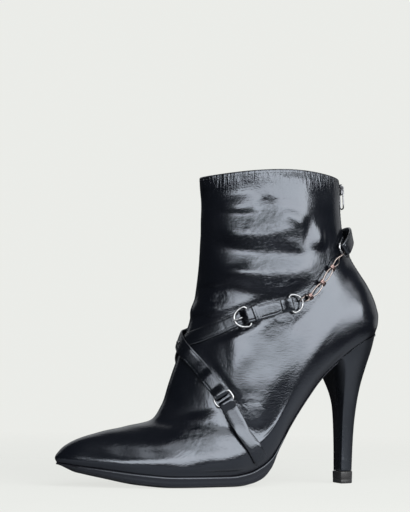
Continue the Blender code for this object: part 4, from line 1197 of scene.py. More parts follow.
# Half section of a strap: inset from the edge, and height as a share of the thickness
STRAP_TOP_ROWS = ((0.0, 0.0), (0.12, 0.25), (0.50, 0.42), (1.1, 0.48), (1.35, 0.40), (1.6, 0.48), (2.8, 0.50),
                  (4.0, 0.505))
STRAP_UNDER_ROWS = ((0.10, -0.30), (0.40, -0.47), (2.8, -0.50))
STRAP_END_ROWS = ((0.0, 0.55), (0.12, 0.85), (0.35, 1.0))
STRAP_FACE_FROM = 0.2
# Width of the lighter edge band: edge paint plus a painted highlight along the bevels
EDGE_PAINT_HIGHLIGHT_WIDTH = 0.3
# Creases pressed across the straps: places along them, and the depth and reach of each
BEFORE_BUCKLE = (13.6, 15.6, 17.4, 19.2)
BEFORE_BUCKLE_MARK = (0.22, 0.9)
AFTER_BUCKLE = (10.2, 13.6, 16.4, 20.0)
AFTER_BUCKLE_MARK = (0.16, 1.5)
INSTEP_MARK_COUNT = 5
INSTEP_MARK_START = 26.0
INSTEP_MARK_STEP = 2.2
INSTEP_MARK = (0.2, 0.9)
STRAP_ROUGHNESS = (0.20, 0.28)
STRAP_BLACK = (0.0013, 0.0016, 0.0024, 1.0)
# Lighter grey of the strap edges: edge paint with a painted highlight mixed in
STRAP_EDGE_HIGHLIGHT_GREY = (0.014, 0.0145, 0.016, 1.0)


def nearest_length(path, target):
    """Length along a route at its spot nearest the target."""
    dense, lengths = path
    goal = Vector(target)
    best = min(range(len(dense)), key=lambda i: (dense[i] - goal).length)
    return lengths[best]


buckle_bar = nearest_length(ankle_path, BUCKLE_BAR_NEAR)
free_end = nearest_length(ankle_path, FREE_END_NEAR)
ring_bar = nearest_length(ankle_path, UPPER_RING_NEAR)
instep_cross = nearest_length(instep_path, CROSSING)
lower_bar = nearest_length(instep_path, LOWER_RING_NEAR)
tab_bar = lower_bar - LOWER_RING_DEPTH
join_at = nearest_length(instep_path, REAR_JOIN_NEAR)
back_at = nearest_length(instep_path, BACK_NEAR)
rear_bar = nearest_length(instep_path, REAR_RING_NEAR)


def straight_run(start, stop, height):
    """A run along a route at the height given for each length."""
    count = max(2, round(abs(stop - start) / STRAP_STEP))
    spots = [start + (stop - start) * k / count for k in range(count + 1)]
    return [(s, height(s)) for s in spots]


def fold(bar, bar_height, turn, radius, rising):
    """Half a turn of a strap round a bar, on its far side (turn +1) or near side (-1)."""
    angles = [-pi / 2 + pi * k / FOLD_STEPS for k in range(FOLD_STEPS + 1)]
    if not rising:
        angles.reverse()
    return [(bar + turn * radius * cos(a), bar_height + radius * sin(a)) for a in angles]


def bump(s, centre, reach):
    """A smooth rise from 0 to 1 around a centre."""
    u = min(abs(s - centre) / reach, 1.0)
    return (1 - u * u) ** 2


def ease(start, stop):
    """Points between two spots of a run, leaving and arriving level."""
    count = max(2, round(abs(stop[0] - start[0]) / STRAP_STEP))
    shares = [k / count for k in range(1, count)]
    return [(start[0] + (stop[0] - start[0]) * u, start[1] + (stop[1] - start[1]) * smooth_step(u))
            for u in shares]


def chain_runs(*runs):
    """Runs joined end to end, each gap filled by an easy slope."""
    total = list(runs[0])
    for run in runs[1:]:
        total += ease(total[-1], run[0]) + list(run)
    return total


def strap_section(half, full_half):
    """Points of a strap's section as (across, share of the thickness), going round."""
    scale = half / full_half
    top = [(half - inset * scale, share) for inset, share in STRAP_TOP_ROWS]
    under = [(half - inset * scale, share) for inset, share in STRAP_UNDER_ROWS]
    points = top + [(-across, share) for across, share in top[::-1]]
    return points + [(-across, share) for across, share in under] + under[::-1]


def strap_look():
    look, sheet, shader, place, grain = grained_look("strap_leather", 1.5, 0.4)
    edge = mask_of(sheet, "edge_paint_highlight")
    scuffs = use_group(sheet, SCUFFS, Place=place, Amount=0.25).outputs["Mask"]
    # The edge band is mixed towards a lighter grey: edge paint plus a painted highlight along the bevels
    colour = sheet.mix(edge, STRAP_BLACK, STRAP_EDGE_HIGHLIGHT_GREY)
    sheet.set(shader, "Base Color", sheet.mix(scuffs, colour, HEEL_SCUFF))
    emboss(sheet, shader, grain.outputs["Height"], 0.35, 0.0003)
    sheet.set(shader, "Roughness", sheet.spread(grain.outputs["Tone"], *TONE_RANGE, *STRAP_ROUGHNESS))
    shader.inputs["Specular Tint"].default_value = COOL_SHINE
    return look


STRAP_LOOK = strap_look()


def strap(name, node, path, run, width, thickness, narrow=None, marks=()):
    """A strap whose middle follows run, a list of (length, height) on a route; marks press into its face."""
    full_half = width / 2
    sections = []
    edge_highlight_values = []
    last = len(run) - 1
    gone = [0.0]
    for a, b in zip(run, run[1:]):
        gone.append(gone[-1] + sqrt((b[0] - a[0]) ** 2 + (b[1] - a[1]) ** 2))
    spots = [(k, 1.0, 0.0) for k in range(1, last)]
    head = [(0, share, inset) for inset, share in STRAP_END_ROWS]
    tail = [(last, share, -inset) for inset, share in STRAP_END_ROWS[::-1]]
    for k, size, shift in head + spots + tail:
        ahead = run[min(k + 1, last)]
        behind = run[max(k - 1, 0)]
        ds, dh = ahead[0] - behind[0], ahead[1] - behind[1]
        long = sqrt(ds * ds + dh * dh)
        ds, dh = ds / long, dh / long
        s, h = run[k][0] + ds * shift, run[k][1] + dh * shift
        half = full_half * (narrow(s) if narrow else 1.0)
        half -= (1 - size) * thickness
        pressed_in = sum(depth * bump(gone[k], at, reach) for at, depth, reach in marks) / thickness
        section = []
        for across, share in strap_section(half, full_half):
            share = (share - (pressed_in if share > STRAP_FACE_FROM else 0.0)) * size
            off = share * thickness
            section.append(on_skin(path, s - dh * off, across, h + ds * off))
            edge_highlight_values.append(1.0 if abs(across) > half - EDGE_PAINT_HIGHLIGHT_WIDTH else 0.0)
        sections.append(section)
    lofted(name, sections, STRAP_LOOK, [node], masks={"edge_paint_highlight": edge_highlight_values})


def ankle_height(s):
    """The ankle strap rises over the buckle's bar and settles on the short strap."""
    over = smooth_step((s - buckle_bar + BUCKLE_RISE) / (BUCKLE_RISE - RISE_ENDS_BEFORE))
    settle = smooth_step((s - buckle_bar - SETTLE_AFTER) / SETTLE_OVER)
    return LAY + (OVER_BAR - LAY) * over - (OVER_BAR - FREE_LAY) * settle


def rounded_end(s):
    """Width share of the ankle strap, rounded at its free end."""
    near = max(0.0, 1 - (free_end - s) / TIP_ROUND)
    return TIP_WIDTH_SHARE + (1 - TIP_WIDTH_SHARE) * sqrt(max(0.0, 1 - near * near))


ankle_run = straight_run(STRAP_START, free_end, ankle_height)
ankle_marks = [(buckle_bar - STRAP_START - back, *BEFORE_BUCKLE_MARK) for back in BEFORE_BUCKLE]
ankle_marks += [(buckle_bar - STRAP_START + ahead, *AFTER_BUCKLE_MARK) for ahead in AFTER_BUCKLE]
strap("long_strap", "ankle_strap", ankle_path, ankle_run, STRAP_WIDTH, STRAP_THICKNESS, rounded_end,
      ankle_marks)

short_run = chain_runs(
    straight_run(buckle_bar + FOLD_FAR, buckle_bar + FOLD_NEAR, lambda s: SHORT_SECOND),
    fold(buckle_bar, BAR_LIFT, -1, SHORT_FOLD, False),
    straight_run(buckle_bar + FOLD_NEAR, ring_bar - FOLD_NEAR, lambda s: SHORT_LAY),
    fold(ring_bar, BAR_LIFT, 1, SHORT_FOLD, True),
    straight_run(ring_bar - FOLD_NEAR, free_end + STRAP_START, lambda s: SHORT_SECOND))
strap("short_strap", "buckle_strap", ankle_path, short_run, STRAP_WIDTH - SHORT_NARROWER, SHORT_THICKNESS)


def instep_height(s):
    """The instep strap rises over its own fold and over the ankle strap."""
    crossing = min(1.0, CROSS_FLAT * bump(s, instep_cross, CROSS_FADE))
    layers = 1 - smooth_step((s - lower_bar - INSTEP_FOLD_FAR - STRAP_THICKNESS) / INSTEP_FOLD_EASE)
    return LAY + CROSS_RISE * max(crossing, layers)


instep_run = chain_runs(
    straight_run(lower_bar + INSTEP_FOLD_FAR, lower_bar + FOLD_NEAR, lambda s: LAY),
    fold(lower_bar, RING_LIFT, -1, FOLD_RADIUS, True),
    straight_run(lower_bar + INSTEP_FOLD_NEAR, join_at, instep_height))
instep_marks = [(INSTEP_MARK_START + INSTEP_MARK_STEP * k, *INSTEP_MARK) for k in range(INSTEP_MARK_COUNT)]
strap("diagonal_strap", "instep_strap", instep_path, instep_run, STRAP_WIDTH, STRAP_THICKNESS,
      marks=instep_marks)


def rear_height(s):
    """The rear strap leaves the leather and stands off the shaft round the back."""
    rise = smooth_step((s - join_at - RISE_AFTER) / (RISE_SHARE * (back_at - join_at)))
    return LAY + 2 * FOLD_RADIUS * rise + (STAND_OFF - 2 * FOLD_RADIUS) * bump(s, back_at, STAND_REACH)


rear_run = chain_runs(
    straight_run(join_at + GAP, rear_bar - REAR_FOLD_START, rear_height),
    fold(rear_bar, RING_LIFT, 1, FOLD_RADIUS, False),
    straight_run(rear_bar - REAR_FOLD_NEAR, rear_bar - REAR_FOLD_FAR, lambda s: LAY))
strap("loose_rear_strap", "rear_strap", instep_path, rear_run, STRAP_WIDTH, STRAP_THICKNESS)


def tab_height(s):
    """The sole tab lies on its own folded end and eases down to the leather below it."""
    under_end = tab_bar - TAB_FOLD_FAR - STRAP_THICKNESS
    return SECOND_LAY - (SECOND_LAY - LAY) * smooth_step((under_end - s) / TAB_FOLD_EASE)


tab_run = chain_runs(
    straight_run(tab_bar - TAB_FOLD_FAR, tab_bar - FOLD_NEAR, lambda s: LAY),
    fold(tab_bar, RING_LIFT, 1, FOLD_RADIUS, True),
    straight_run(tab_bar - FOLD_NEAR, STRAP_START, tab_height))
strap("outer_sole_tab", "sole_tab", instep_path, tab_run, STRAP_WIDTH, STRAP_THICKNESS)

# Keeper
# A small leather loop sewn round the short strap, which holds the free end of the ankle strap down.
KEEPER_AT = 5.0
KEEPER_LENGTH = 4.6
KEEPER_THICKNESS = 0.9
KEEPER_LOW = 0.5
KEEPER_ROUND = 1.1
KEEPER_CORNER_STEPS = 6
KEEPER_EDGE = 0.22
KEEPER_UNDER = 0.05
KEEPER_GROOVE = (1.0, 1.2, 1.4)
KEEPER_GROOVE_DEPTH = 0.1


def rigid(path, s, h):
    """A flat frame standing h above the last at length s of a route."""
    spot, along, side, normal = along_route(path, s)

    def place(ahead, w, up=0.0):
        return spot + along * ahead + side * w + normal * (h + up)

    return place


keeper = rigid(ankle_path, buckle_bar + KEEPER_AT, 0.0)
keeper_top = OVER_BAR + STRAP_THICKNESS / 2 + GAP
keeper_side = STRAP_WIDTH / 2 + GAP
keeper_line = [(-keeper_side, KEEPER_LOW, -1.0, 0.0)]
for centre, first in ((-1, pi), (1, pi / 2)):
    for k in range(KEEPER_CORNER_STEPS + 1):
        turn = first - pi / 2 * k / KEEPER_CORNER_STEPS
        out_w, out_h = cos(turn), sin(turn)
        keeper_line.append((centre * (keeper_side - KEEPER_ROUND) + KEEPER_ROUND * out_w,
                            keeper_top - KEEPER_ROUND + KEEPER_ROUND * out_h, out_w, out_h))
keeper_line.append((keeper_side, KEEPER_LOW, 1.0, 0.0))
half_length = KEEPER_LENGTH / 2
edge_at = half_length - KEEPER_EDGE
near_at, deep_at, far_at = (half_length - inset for inset in KEEPER_GROOVE)
shoulder = KEEPER_THICKNESS - KEEPER_EDGE
groove = KEEPER_THICKNESS - KEEPER_GROOVE_DEPTH
keeper_outline = ((-half_length, KEEPER_UNDER), (-edge_at, 0.0), (edge_at, 0.0), (half_length, KEEPER_UNDER),
                  (half_length, shoulder), (edge_at, KEEPER_THICKNESS), (near_at, KEEPER_THICKNESS),
                  (deep_at, groove), (far_at, KEEPER_THICKNESS), (-far_at, KEEPER_THICKNESS),
                  (-deep_at, groove), (-near_at, KEEPER_THICKNESS), (-edge_at, KEEPER_THICKNESS),
                  (-half_length, shoulder))
keeper_sections = []
for w, h, out_w, out_h in keeper_line:
    keeper_sections.append([keeper(ahead, w + out_w * out, h + out_h * out) for ahead, out in keeper_outline])
# The keeper's lower edges take the same lighter grey: edge paint plus a painted highlight
keeper_edge_highlight = [1.0 if out < KEEPER_THICKNESS / 2 else 0.0 for ahead, out in keeper_outline]
lofted("leather_keeper", keeper_sections, STRAP_LOOK, ["strap_keeper"],
       masks={"edge_paint_highlight": keeper_edge_highlight * len(keeper_sections)})

# Rings and buckle
# Bent and welded steel wire, plated and polished: two D rings, a square ring at the foot of the
# diagonal strap, the buckle's D frame and its prong, which rests on the frame.
WIRE_SIDES = 14
RING_WIRE = 0.74
BUCKLE_WIRE = 0.82
RING_HALF_BAR = 6.3
RING_CORNER = 1.4
LOWER_CORNER = 1.3
RING_DEPTH = 8.5
REAR_RING_DEPTH = 6.0
LOOP_STEPS = 16
ROUND_PASSES = 2
BUCKLE_HALF_BAR = 7.0
BUCKLE_DEPTH = 10.5
BUCKLE_TILT = 0.7
PRONG_WIRE = 0.6
PRONG_LENGTH = 7.0
PRONG_OVERHANG = 1.3
PRONG_SLOPE = 0.2
# From its tip: share of its length, and width as a share of the wire's
PRONG_ROWS = ((0.0, 0.35), (0.02, 0.6), (0.06, 0.82), (0.2, 0.9), (0.6, 1.0), (0.94, 1.0), (0.98, 0.85),
              (1.0, 0.5))
STEEL = (0.27, 0.27, 0.275, 1.0)
STEEL_DULL = (0.09, 0.09, 0.093, 1.0)
HAIRLINE_ROUGHNESS = 0.15
PATCH_ROUGHNESS = (0.8, 1.4)


def metal_look(name, bright, dull, roughness):
    """Polished plate with faint hairlines and duller patches."""
    look, sheet, shader, place = placed_look(name)
    patches = sheet.add("ShaderNodeTexNoise", Vector=place, Scale=0.5, Detail=3.0)
    hairlines = use_group(sheet, SCUFFS, Place=place, Amount=0.6).outputs["Mask"]
    sheet.set(shader, "Base Color", sheet.mix(patches.outputs["Fac"], dull, bright))
    smooth, dulled = (roughness * share for share in PATCH_ROUGHNESS)
    patchy = sheet.spread(patches.outputs["Fac"], *TONE_RANGE, smooth, dulled)
    scratched = sheet.math("MULTIPLY", hairlines, HAIRLINE_ROUGHNESS)
    sheet.set(shader, "Roughness", sheet.math("ADD", patchy, scratched))
    shader.inputs["Metallic"].default_value = 1.0
    return look


STEEL_LOOK = metal_look("polished_steel", STEEL, STEEL_DULL, 0.22)


def rounded(path, passes=ROUND_PASSES):
    """A closed path with its corners cut back softly."""
    for _ in range(passes):
        path = [p for a, b in zip(path, path[1:] + path[:1]) for p in (a.lerp(b, 0.25), a.lerp(b, 0.75))]
    return path


def wire_ring(name, node, path, radius, look, body="boot"):
    """A closed ring of round wire."""
    sections = wire_sections(path, [radius] * len(path), WIRE_SIDES, closed=True)
    lofted(name, sections, look, [node], body, closed=True)


def d_loop(place, half_bar, depth):
    """The path of a D ring with its bar at 0 and its curve ahead."""
    corner = depth / abs(depth) * RING_CORNER
    straight = half_bar - RING_CORNER
    path = [place(0.0, straight * share) for share in (-1, -0.5, 0, 0.5, 1)]
    for k in range(LOOP_STEPS + 1):
        turn = pi / 2 - pi * k / LOOP_STEPS
        path.append(place(corner + (depth - corner) * cos(turn), half_bar * sin(turn)))
    return rounded(path)


def spots_on(path, start, height):
    """Places near one spot of a route, following the last."""
    return lambda ahead, w, up=0.0: on_skin(path, start + ahead, w, height + up)


flat_ring = spots_on(ankle_path, ring_bar, BAR_LIFT)


def upper_ring(ahead, w):
    """The upper ring tips up from its bar to the height of the chain."""
    return flat_ring(ahead, w, (RING_LIFT - BAR_LIFT) * ahead / RING_DEPTH)


rear_ring = spots_on(instep_path, rear_bar, RING_LIFT)
lower_ring = spots_on(instep_path, lower_bar, RING_LIFT)
wire_ring("upper_d_ring", "upper_ring", d_loop(upper_ring, RING_HALF_BAR, RING_DEPTH), RING_WIRE, STEEL_LOOK)
wire_ring("rear_d_ring", "rear_ring", d_loop(rear_ring, RING_HALF_BAR, REAR_RING_DEPTH), RING_WIRE,
          STEEL_LOOK)
straight = RING_HALF_BAR - LOWER_CORNER
lower_corners = [(0, share * straight) for share in (-1, -0.4, 0.4, 1)]
lower_corners += [(-LOWER_CORNER, RING_HALF_BAR), (LOWER_CORNER - LOWER_RING_DEPTH, RING_HALF_BAR)]
lower_corners += [(-LOWER_RING_DEPTH, share * straight) for share in (1, 0.4, -0.4, -1)]
lower_corners += [(LOWER_CORNER - LOWER_RING_DEPTH, -RING_HALF_BAR), (-LOWER_CORNER, -RING_HALF_BAR)]
wire_ring("lower_square_ring", "lower_ring", rounded([lower_ring(*spot) for spot in lower_corners]),
          RING_WIRE, STEEL_LOOK)
buckle = rigid(ankle_path, buckle_bar, BAR_LIFT)


def buckle_spot(ahead, w):
    """The buckle's frame tips up towards its curve."""
    return buckle(ahead, w, -ahead / BUCKLE_DEPTH * BUCKLE_TILT)


wire_ring("buckle_d_frame", "buckle_frame", d_loop(buckle_spot, BUCKLE_HALF_BAR, -BUCKLE_DEPTH),
          BUCKLE_WIRE, STEEL_LOOK)
prong_rise = BUCKLE_TILT + WIRE + GAP + PRONG_WIRE
prong_tip = -BUCKLE_DEPTH - PRONG_OVERHANG
prong_path = [buckle(prong_tip + share * PRONG_LENGTH, 0.0, prong_rise + PRONG_SLOPE * share)
              for share, wide in PRONG_ROWS]
prong_sections = wire_sections(prong_path, [PRONG_WIRE * wide for share, wide in PRONG_ROWS], WIRE_SIDES)
lofted("steel_prong", prong_sections, STEEL_LOOK, ["buckle_prong"])

# Rivet
# A small domed rivet with a dark plated head, set through both straps where they cross.
RIVET_RADIUS = 1.7
RIVET_HEIGHT = 0.8
RIVET_SIDES = 28
# Shares of the rivet's height and radius
RIVET_ROWS = ((0.0, 0.98), (0.12, 1.0), (0.3, 0.98), (0.5, 0.9), (0.72, 0.74), (0.88, 0.52), (0.97, 0.28),
              (1.0, 0.1))
RIVET_LOOK = metal_look("dark_plate", bright=(0.20, 0.20, 0.205, 1.0), dull=(0.10, 0.10, 0.105, 1.0),
                        roughness=0.22)
rivet = rigid(instep_path, instep_cross, LAY + CROSS_RISE + STRAP_THICKNESS / 2 + GAP)
rivet_turns = [2 * pi * k / RIVET_SIDES for k in range(RIVET_SIDES)]
rivet_sections = []
for share, wide in RIVET_ROWS:
    radius = RIVET_RADIUS * wide
    rivet_sections.append([rivet(radius * cos(a), radius * sin(a), share * RIVET_HEIGHT)
                           for a in rivet_turns])
lofted("domed_rivet", rivet_sections, RIVET_LOOK, ["cross_rivet"])

# Chain
# Four long oval links of plated wire, bound end to end by double wraps and hooked to a ring at each
# end. It lies on the outer ankle.
CHAIN_GUIDES = ((68.5, 33, 131.5), (58.5, 32, 141.5), (50.5, 29, 151.5))
CHAIN_WIRE = 0.55
CHAIN_LEAVES = 0.3
CHAIN_RUN_ON = 4.0
CHAIN_RUN_ASIDE = 1.2
LINK_STEPS = 64
WRAP_STEPS = 28
LINK_WIRE = 0.44
LINK_HALF_WIDTH = 1.9
HOOK_HALF_WIDTH = 2.6
HOOK_BLUNTNESS = 0.4
HOOK_TILT = 1.2
WRAP_HALF_LENGTH = 1.4
WRAP_PLACES = (0.14, 0.42, 0.70)
WRAP_TURNS = 2
WRAP_TURN_STEPS = 8
LINK_GAP = 0.75
WRAP_WIRE = 0.38
WRAP_HALF_WIDTH = 1.4
WRAP_HALF_HEIGHT = 0.2
WRAP_LOW = 0.8
WRAP_BULGE = 0.7
HOOK_FROM = 0.5
# The warm tint of the links and the deeper copper tint of the wraps are painted reflection: they stand in for
# something warm reflected in the plate
CHAIN_LOOK = metal_look("warm_reflection_plate", bright=(0.24, 0.21, 0.195, 1.0), dull=(0.085, 0.062, 0.055, 1.0),
                        roughness=0.20)
WRAP_LOOK = metal_look("copper_reflection_plate", bright=(0.15, 0.108, 0.10, 1.0), dull=(0.06, 0.036, 0.033, 1.0),
                       roughness=0.22)
curve_ahead = RING_CORNER + (RING_DEPTH - RING_CORNER) * cos(CHAIN_LEAVES)
curve_across = RING_HALF_BAR * sin(CHAIN_LEAVES)
chain_knots = [upper_ring(curve_ahead - CHAIN_RUN_ON, curve_across - CHAIN_RUN_ASIDE)]
chain_knots += [upper_ring(curve_ahead, curve_across)]
chain_knots += [Vector(guide) for guide in CHAIN_GUIDES]
chain_knots += [rear_ring(REAR_RING_DEPTH, 0.0), rear_ring(REAR_RING_DEPTH - CHAIN_RUN_ON, 0.0)]
chain_path = route(chain_knots)
chain_start = chain_path[1][ROUTE_STEPS]
chain_stop = chain_path[1][ROUTE_STEPS * (len(chain_knots) - 2)]
chain_length = chain_stop - chain_start
hook = WIRE + GAP + CHAIN_WIRE
wraps_at = [chain_start + chain_length * share for share in WRAP_PLACES]
link_ends = [chain_start - hook] + [spot + turn * LINK_GAP for spot in wraps_at for turn in (-1, 1)]
link_ends.append(chain_stop + hook)
for number in range(len(wraps_at) + 1):
    start, stop = link_ends[2 * number: 2 * number + 2]
    place = spots_on(chain_path, (start + stop) / 2, RING_LIFT)
    reach = (stop - start) / 2
    hooked = number in (0, len(wraps_at))
    link_path = []
    for k in range(LINK_STEPS):
        turn = 2 * pi * k / LINK_STEPS
        ahead = reach * cos(turn)
        to_ring = -ahead if number == 0 else ahead
        share = smooth_step(to_ring / reach + HOOK_FROM) if hooked else 0.0
        tilt = HOOK_TILT * share
        wide = LINK_HALF_WIDTH + (HOOK_HALF_WIDTH - LINK_HALF_WIDTH) * share
        wide *= max(abs(sin(turn)), 1e-6) ** (1 - HOOK_BLUNTNESS * share) * (1 if turn < pi else -1)
        link_path.append(place(ahead, wide * cos(tilt), wide * sin(tilt)))
    wire_ring(f"oval_link_{number + 1}", f"chain_link_{number + 1}", link_path, LINK_WIRE, CHAIN_LOOK)
wrap_outline = [(-1.0, 0.0)]
for k in range(WRAP_TURNS * WRAP_TURN_STEPS + 1):
    share = k / (WRAP_TURNS * WRAP_TURN_STEPS)
    wrap_outline.append((2 * share - 1, WRAP_LOW + WRAP_BULGE * abs(sin(pi * WRAP_TURNS * share))))
wrap_outline.append((1.0, 0.0))
for number, spot in enumerate(wraps_at):
    place = spots_on(chain_path, spot, RING_LIFT)
    wrap_sections = []
    for k in range(WRAP_STEPS):
        turn = 2 * pi * k / WRAP_STEPS
        section = []
        for ahead, out in wrap_outline:
            grow = GAP + LINK_WIRE + out * WRAP_WIRE
            across = (WRAP_HALF_WIDTH + grow) * cos(turn)
            up = (WRAP_HALF_HEIGHT + grow) * sin(turn)
            section.append(place(ahead * WRAP_HALF_LENGTH, across, up))
        wrap_sections.append(section)
    lofted(f"double_wrap_{number + 1}", wrap_sections, WRAP_LOOK,
           [f"chain_wrap_{number + 1}"], closed=True)

# Zip
# A metal zip down the back: two black woven tapes sewn to the upper, rows of small metal teeth that
# interlock, a slider at the collar and its wire pull, which hangs from the slider and swings.
ZIP_HALF_WIDTH = 3.2
ZIP_START = 0.8
TAPE_STEP = 1.5
# Shares of the tape's half width, and heights
TAPE_ROWS = ((-1.0, 0.05), (-1.0, 0.3), (-0.9, 0.4), (-0.25, 0.4), (-0.2, 0.3), (0.2, 0.3), (0.25, 0.4),
             (0.9, 0.4), (1.0, 0.3), (1.0, 0.05))
TOOTH_PITCH = 1.5
TOOTH_LENGTH = 0.95
TOOTH_REACH = 2.1
TOOTH_PAST_MIDDLE = 0.45
TOOTH_LOW = 0.3
TOOTH_HEIGHT = 0.62
TOOTH_CORNER = 0.16
TOOTH_END_SIZE = 0.7
TOOTH_END_DROP = 0.4
TAPE_BLACK = (0.004, 0.004, 0.005, 1)
TAPE_PALE = (0.022, 0.022, 0.024, 1)
TAPE_ROUGHNESS = (0.6, 0.8)
SLIDER_AT = 5.4
SLIDER_EDGE = 0.25
PULL_LENGTH = 14.0
PULL_HALF_WIDTH = 2.8
PULL_WIRE = 0.5
PULL_LIFT = 3.1
# Shares of the pull's length and half width
PULL_OUTLINE = ((0.0, -0.7), (0.0, 0.0), (0.0, 0.7), (0.08, 1.0), (0.5, 1.0), (0.9, 1.0), (0.97, 0.75),
                (1.0, 0.0), (0.97, -0.75), (0.9, -1.0), (0.5, -1.0), (0.08, -1.0))
# Sections round the slider's window: along and up at the window, along and up outside, and half width
SLIDER_ROWS = (
    (-2.0, 2.2, -4.0, 1.2, 3.4),
    (2.0, 2.2, 4.0, 1.2, 3.4),
    (2.0, 2.25, 4.0, 2.2, 3.4),
    (2.0, 2.35, 3.0, 2.35, 1.1),
    (2.0, 3.95, 2.8, 4.7, 1.1),
    (-2.0, 3.95, -2.8, 4.7, 1.1),
    (-2.0, 2.35, -3.0, 2.35, 1.1),
    (-2.0, 2.25, -4.0, 2.2, 3.4),
)


def tape_look():
    look, sheet, shader, place = placed_look("woven_tape")
    weft = sheet.add("ShaderNodeTexWave", {"bands_direction": "Z"}, Vector=place, Scale=0.9, Distortion=0.4)
    warp = sheet.add("ShaderNodeTexWave", {"bands_direction": "Y"}, Vector=place, Scale=0.9, Distortion=0.4)
    weave = sheet.math("MULTIPLY", weft.outputs["Fac"], warp.outputs["Fac"])
    sheet.set(shader, "Base Color", sheet.mix(weave, TAPE_BLACK, TAPE_PALE))
    emboss(sheet, shader, weave, 0.7, 0.0002)
    sheet.set(shader, "Roughness", sheet.spread(weave, 0.0, 1.0, *TAPE_ROUGHNESS))
    return look


tape_count = int((zip_length - ZIP_START) / TAPE_STEP)
tape_sections = []
for k in range(tape_count + 1):
    s = ZIP_START + (zip_length - ZIP_START) * k / tape_count
    tape_sections.append([on_skin(zip_path, s, across * ZIP_HALF_WIDTH, up) for across, up in TAPE_ROWS])
lofted("zip_tape", tape_sections, tape_look(), ["zip_chain"])
TEETH_LOOK = metal_look("zip_metal", bright=(0.16, 0.16, 0.17, 1.0), dull=(0.08, 0.08, 0.085, 1.0),
                        roughness=0.28)
teeth = []
tooth_at = ZIP_START + TOOTH_PITCH
side = 1
while tooth_at < zip_length - TOOTH_PITCH:
    sections = []
    for across, size in ((-TOOTH_PAST_MIDDLE, TOOTH_END_SIZE), (-TOOTH_PAST_MIDDLE + TOOTH_CORNER, 1.0),
                         (TOOTH_REACH - TOOTH_CORNER, 1.0), (TOOTH_REACH, TOOTH_END_SIZE)):
        half = TOOTH_LENGTH / 2 * size
        high = TOOTH_LOW + TOOTH_HEIGHT * (1 - TOOTH_END_DROP + TOOTH_END_DROP * size)
        outline = ((-half, TOOTH_LOW), (-half, high - TOOTH_CORNER), (-half + TOOTH_CORNER, high),
                   (half - TOOTH_CORNER, high), (half, high - TOOTH_CORNER), (half, TOOTH_LOW))
        sections.append([on_skin(zip_path, tooth_at + ahead, side * across, up) for ahead, up in outline])
    add_part(teeth, sections)
    tooth_at += TOOTH_PITCH / 2
    side = -side
tooth_points, tooth_faces = join_parts(teeth)
piece("zip_teeth", tooth_points, tooth_faces, TEETH_LOOK)
slider = rigid(zip_path, SLIDER_AT, 0.0)
slider_sections = []
for window_s, window_h, outside_s, outside_h, half in SLIDER_ROWS:
    slider_sections.append([slider(window_s, -half, window_h), slider(window_s, half, window_h),
                            slider(outside_s, half, outside_h), slider(outside_s, -half, outside_h)])
slider_piece = lofted("steel_slider", slider_sections, TEETH_LOOK, ["zip_slider"],
                      closed=True)
slider_shape = bmesh.new()
slider_shape.from_mesh(slider_piece.data)
bmesh.ops.bevel(slider_shape, geom=slider_shape.edges[:], offset=SLIDER_EDGE * MM, segments=2, affect="EDGES",
                clamp_overlap=True)
slider_shape.to_mesh(slider_piece.data)
slider_shape.free()
pull_path = [slider(ahead * PULL_LENGTH, across * PULL_HALF_WIDTH, PULL_LIFT)
             for ahead, across in PULL_OUTLINE]
wire_ring("wire_pull", "zip_pull", rounded(pull_path), PULL_WIRE, TEETH_LOOK, "pull")

# Studio
# A plain pale floor that fades into a pale background, a wide low softbox and a dimmer high one on
# the outer side, faint ones behind the heel and on the inner side, and a camera low down in front.
FLOOR_RADIUS = 3.0
FLOOR_SIDES = 96
FLOOR_FADE = (0.22, 0.9)
FLOOR_PALE = (0.062, 0.063, 0.060, 1.0)
FLOOR_PATCHY = (0.068, 0.069, 0.066, 1.0)
FLOOR_GLOW = 0.85
FLOOR_BOUNCE = (0.42, 0.43, 0.455, 1.0)
FLOOR_SHADED = (0.02, 0.02, 0.022, 1.0)
SHADED_FROM = (-0.05, 0.05)
BOUNCE_FADE = (0.22, 0.50)
BACKGROUND = (0.83, 0.84, 0.81, 1.0)
ROOM_DIM = (0.045, 0.050, 0.060, 1.0)
LIGHT_AWAY = 1.5
# Name, turn from the outer side and rise in degrees, width, height and radiance
LIGHT_ROWS = (
    ("low_softbox", -8, 19.5, 3.4, 0.78, 10.8),
    ("tall_softbox", -28, 54, 1.9, 1.25, 4.2),
    ("rim_softbox", -112, 8, 0.9, 0.8, 0.45),
    ("inner_softbox", 172, 34, 2.2, 0.9, 0.8),
)
LIGHT_COLOUR = (0.97, 0.99, 1.0)
AIM = Vector((0.0, 0.0, 0.12))


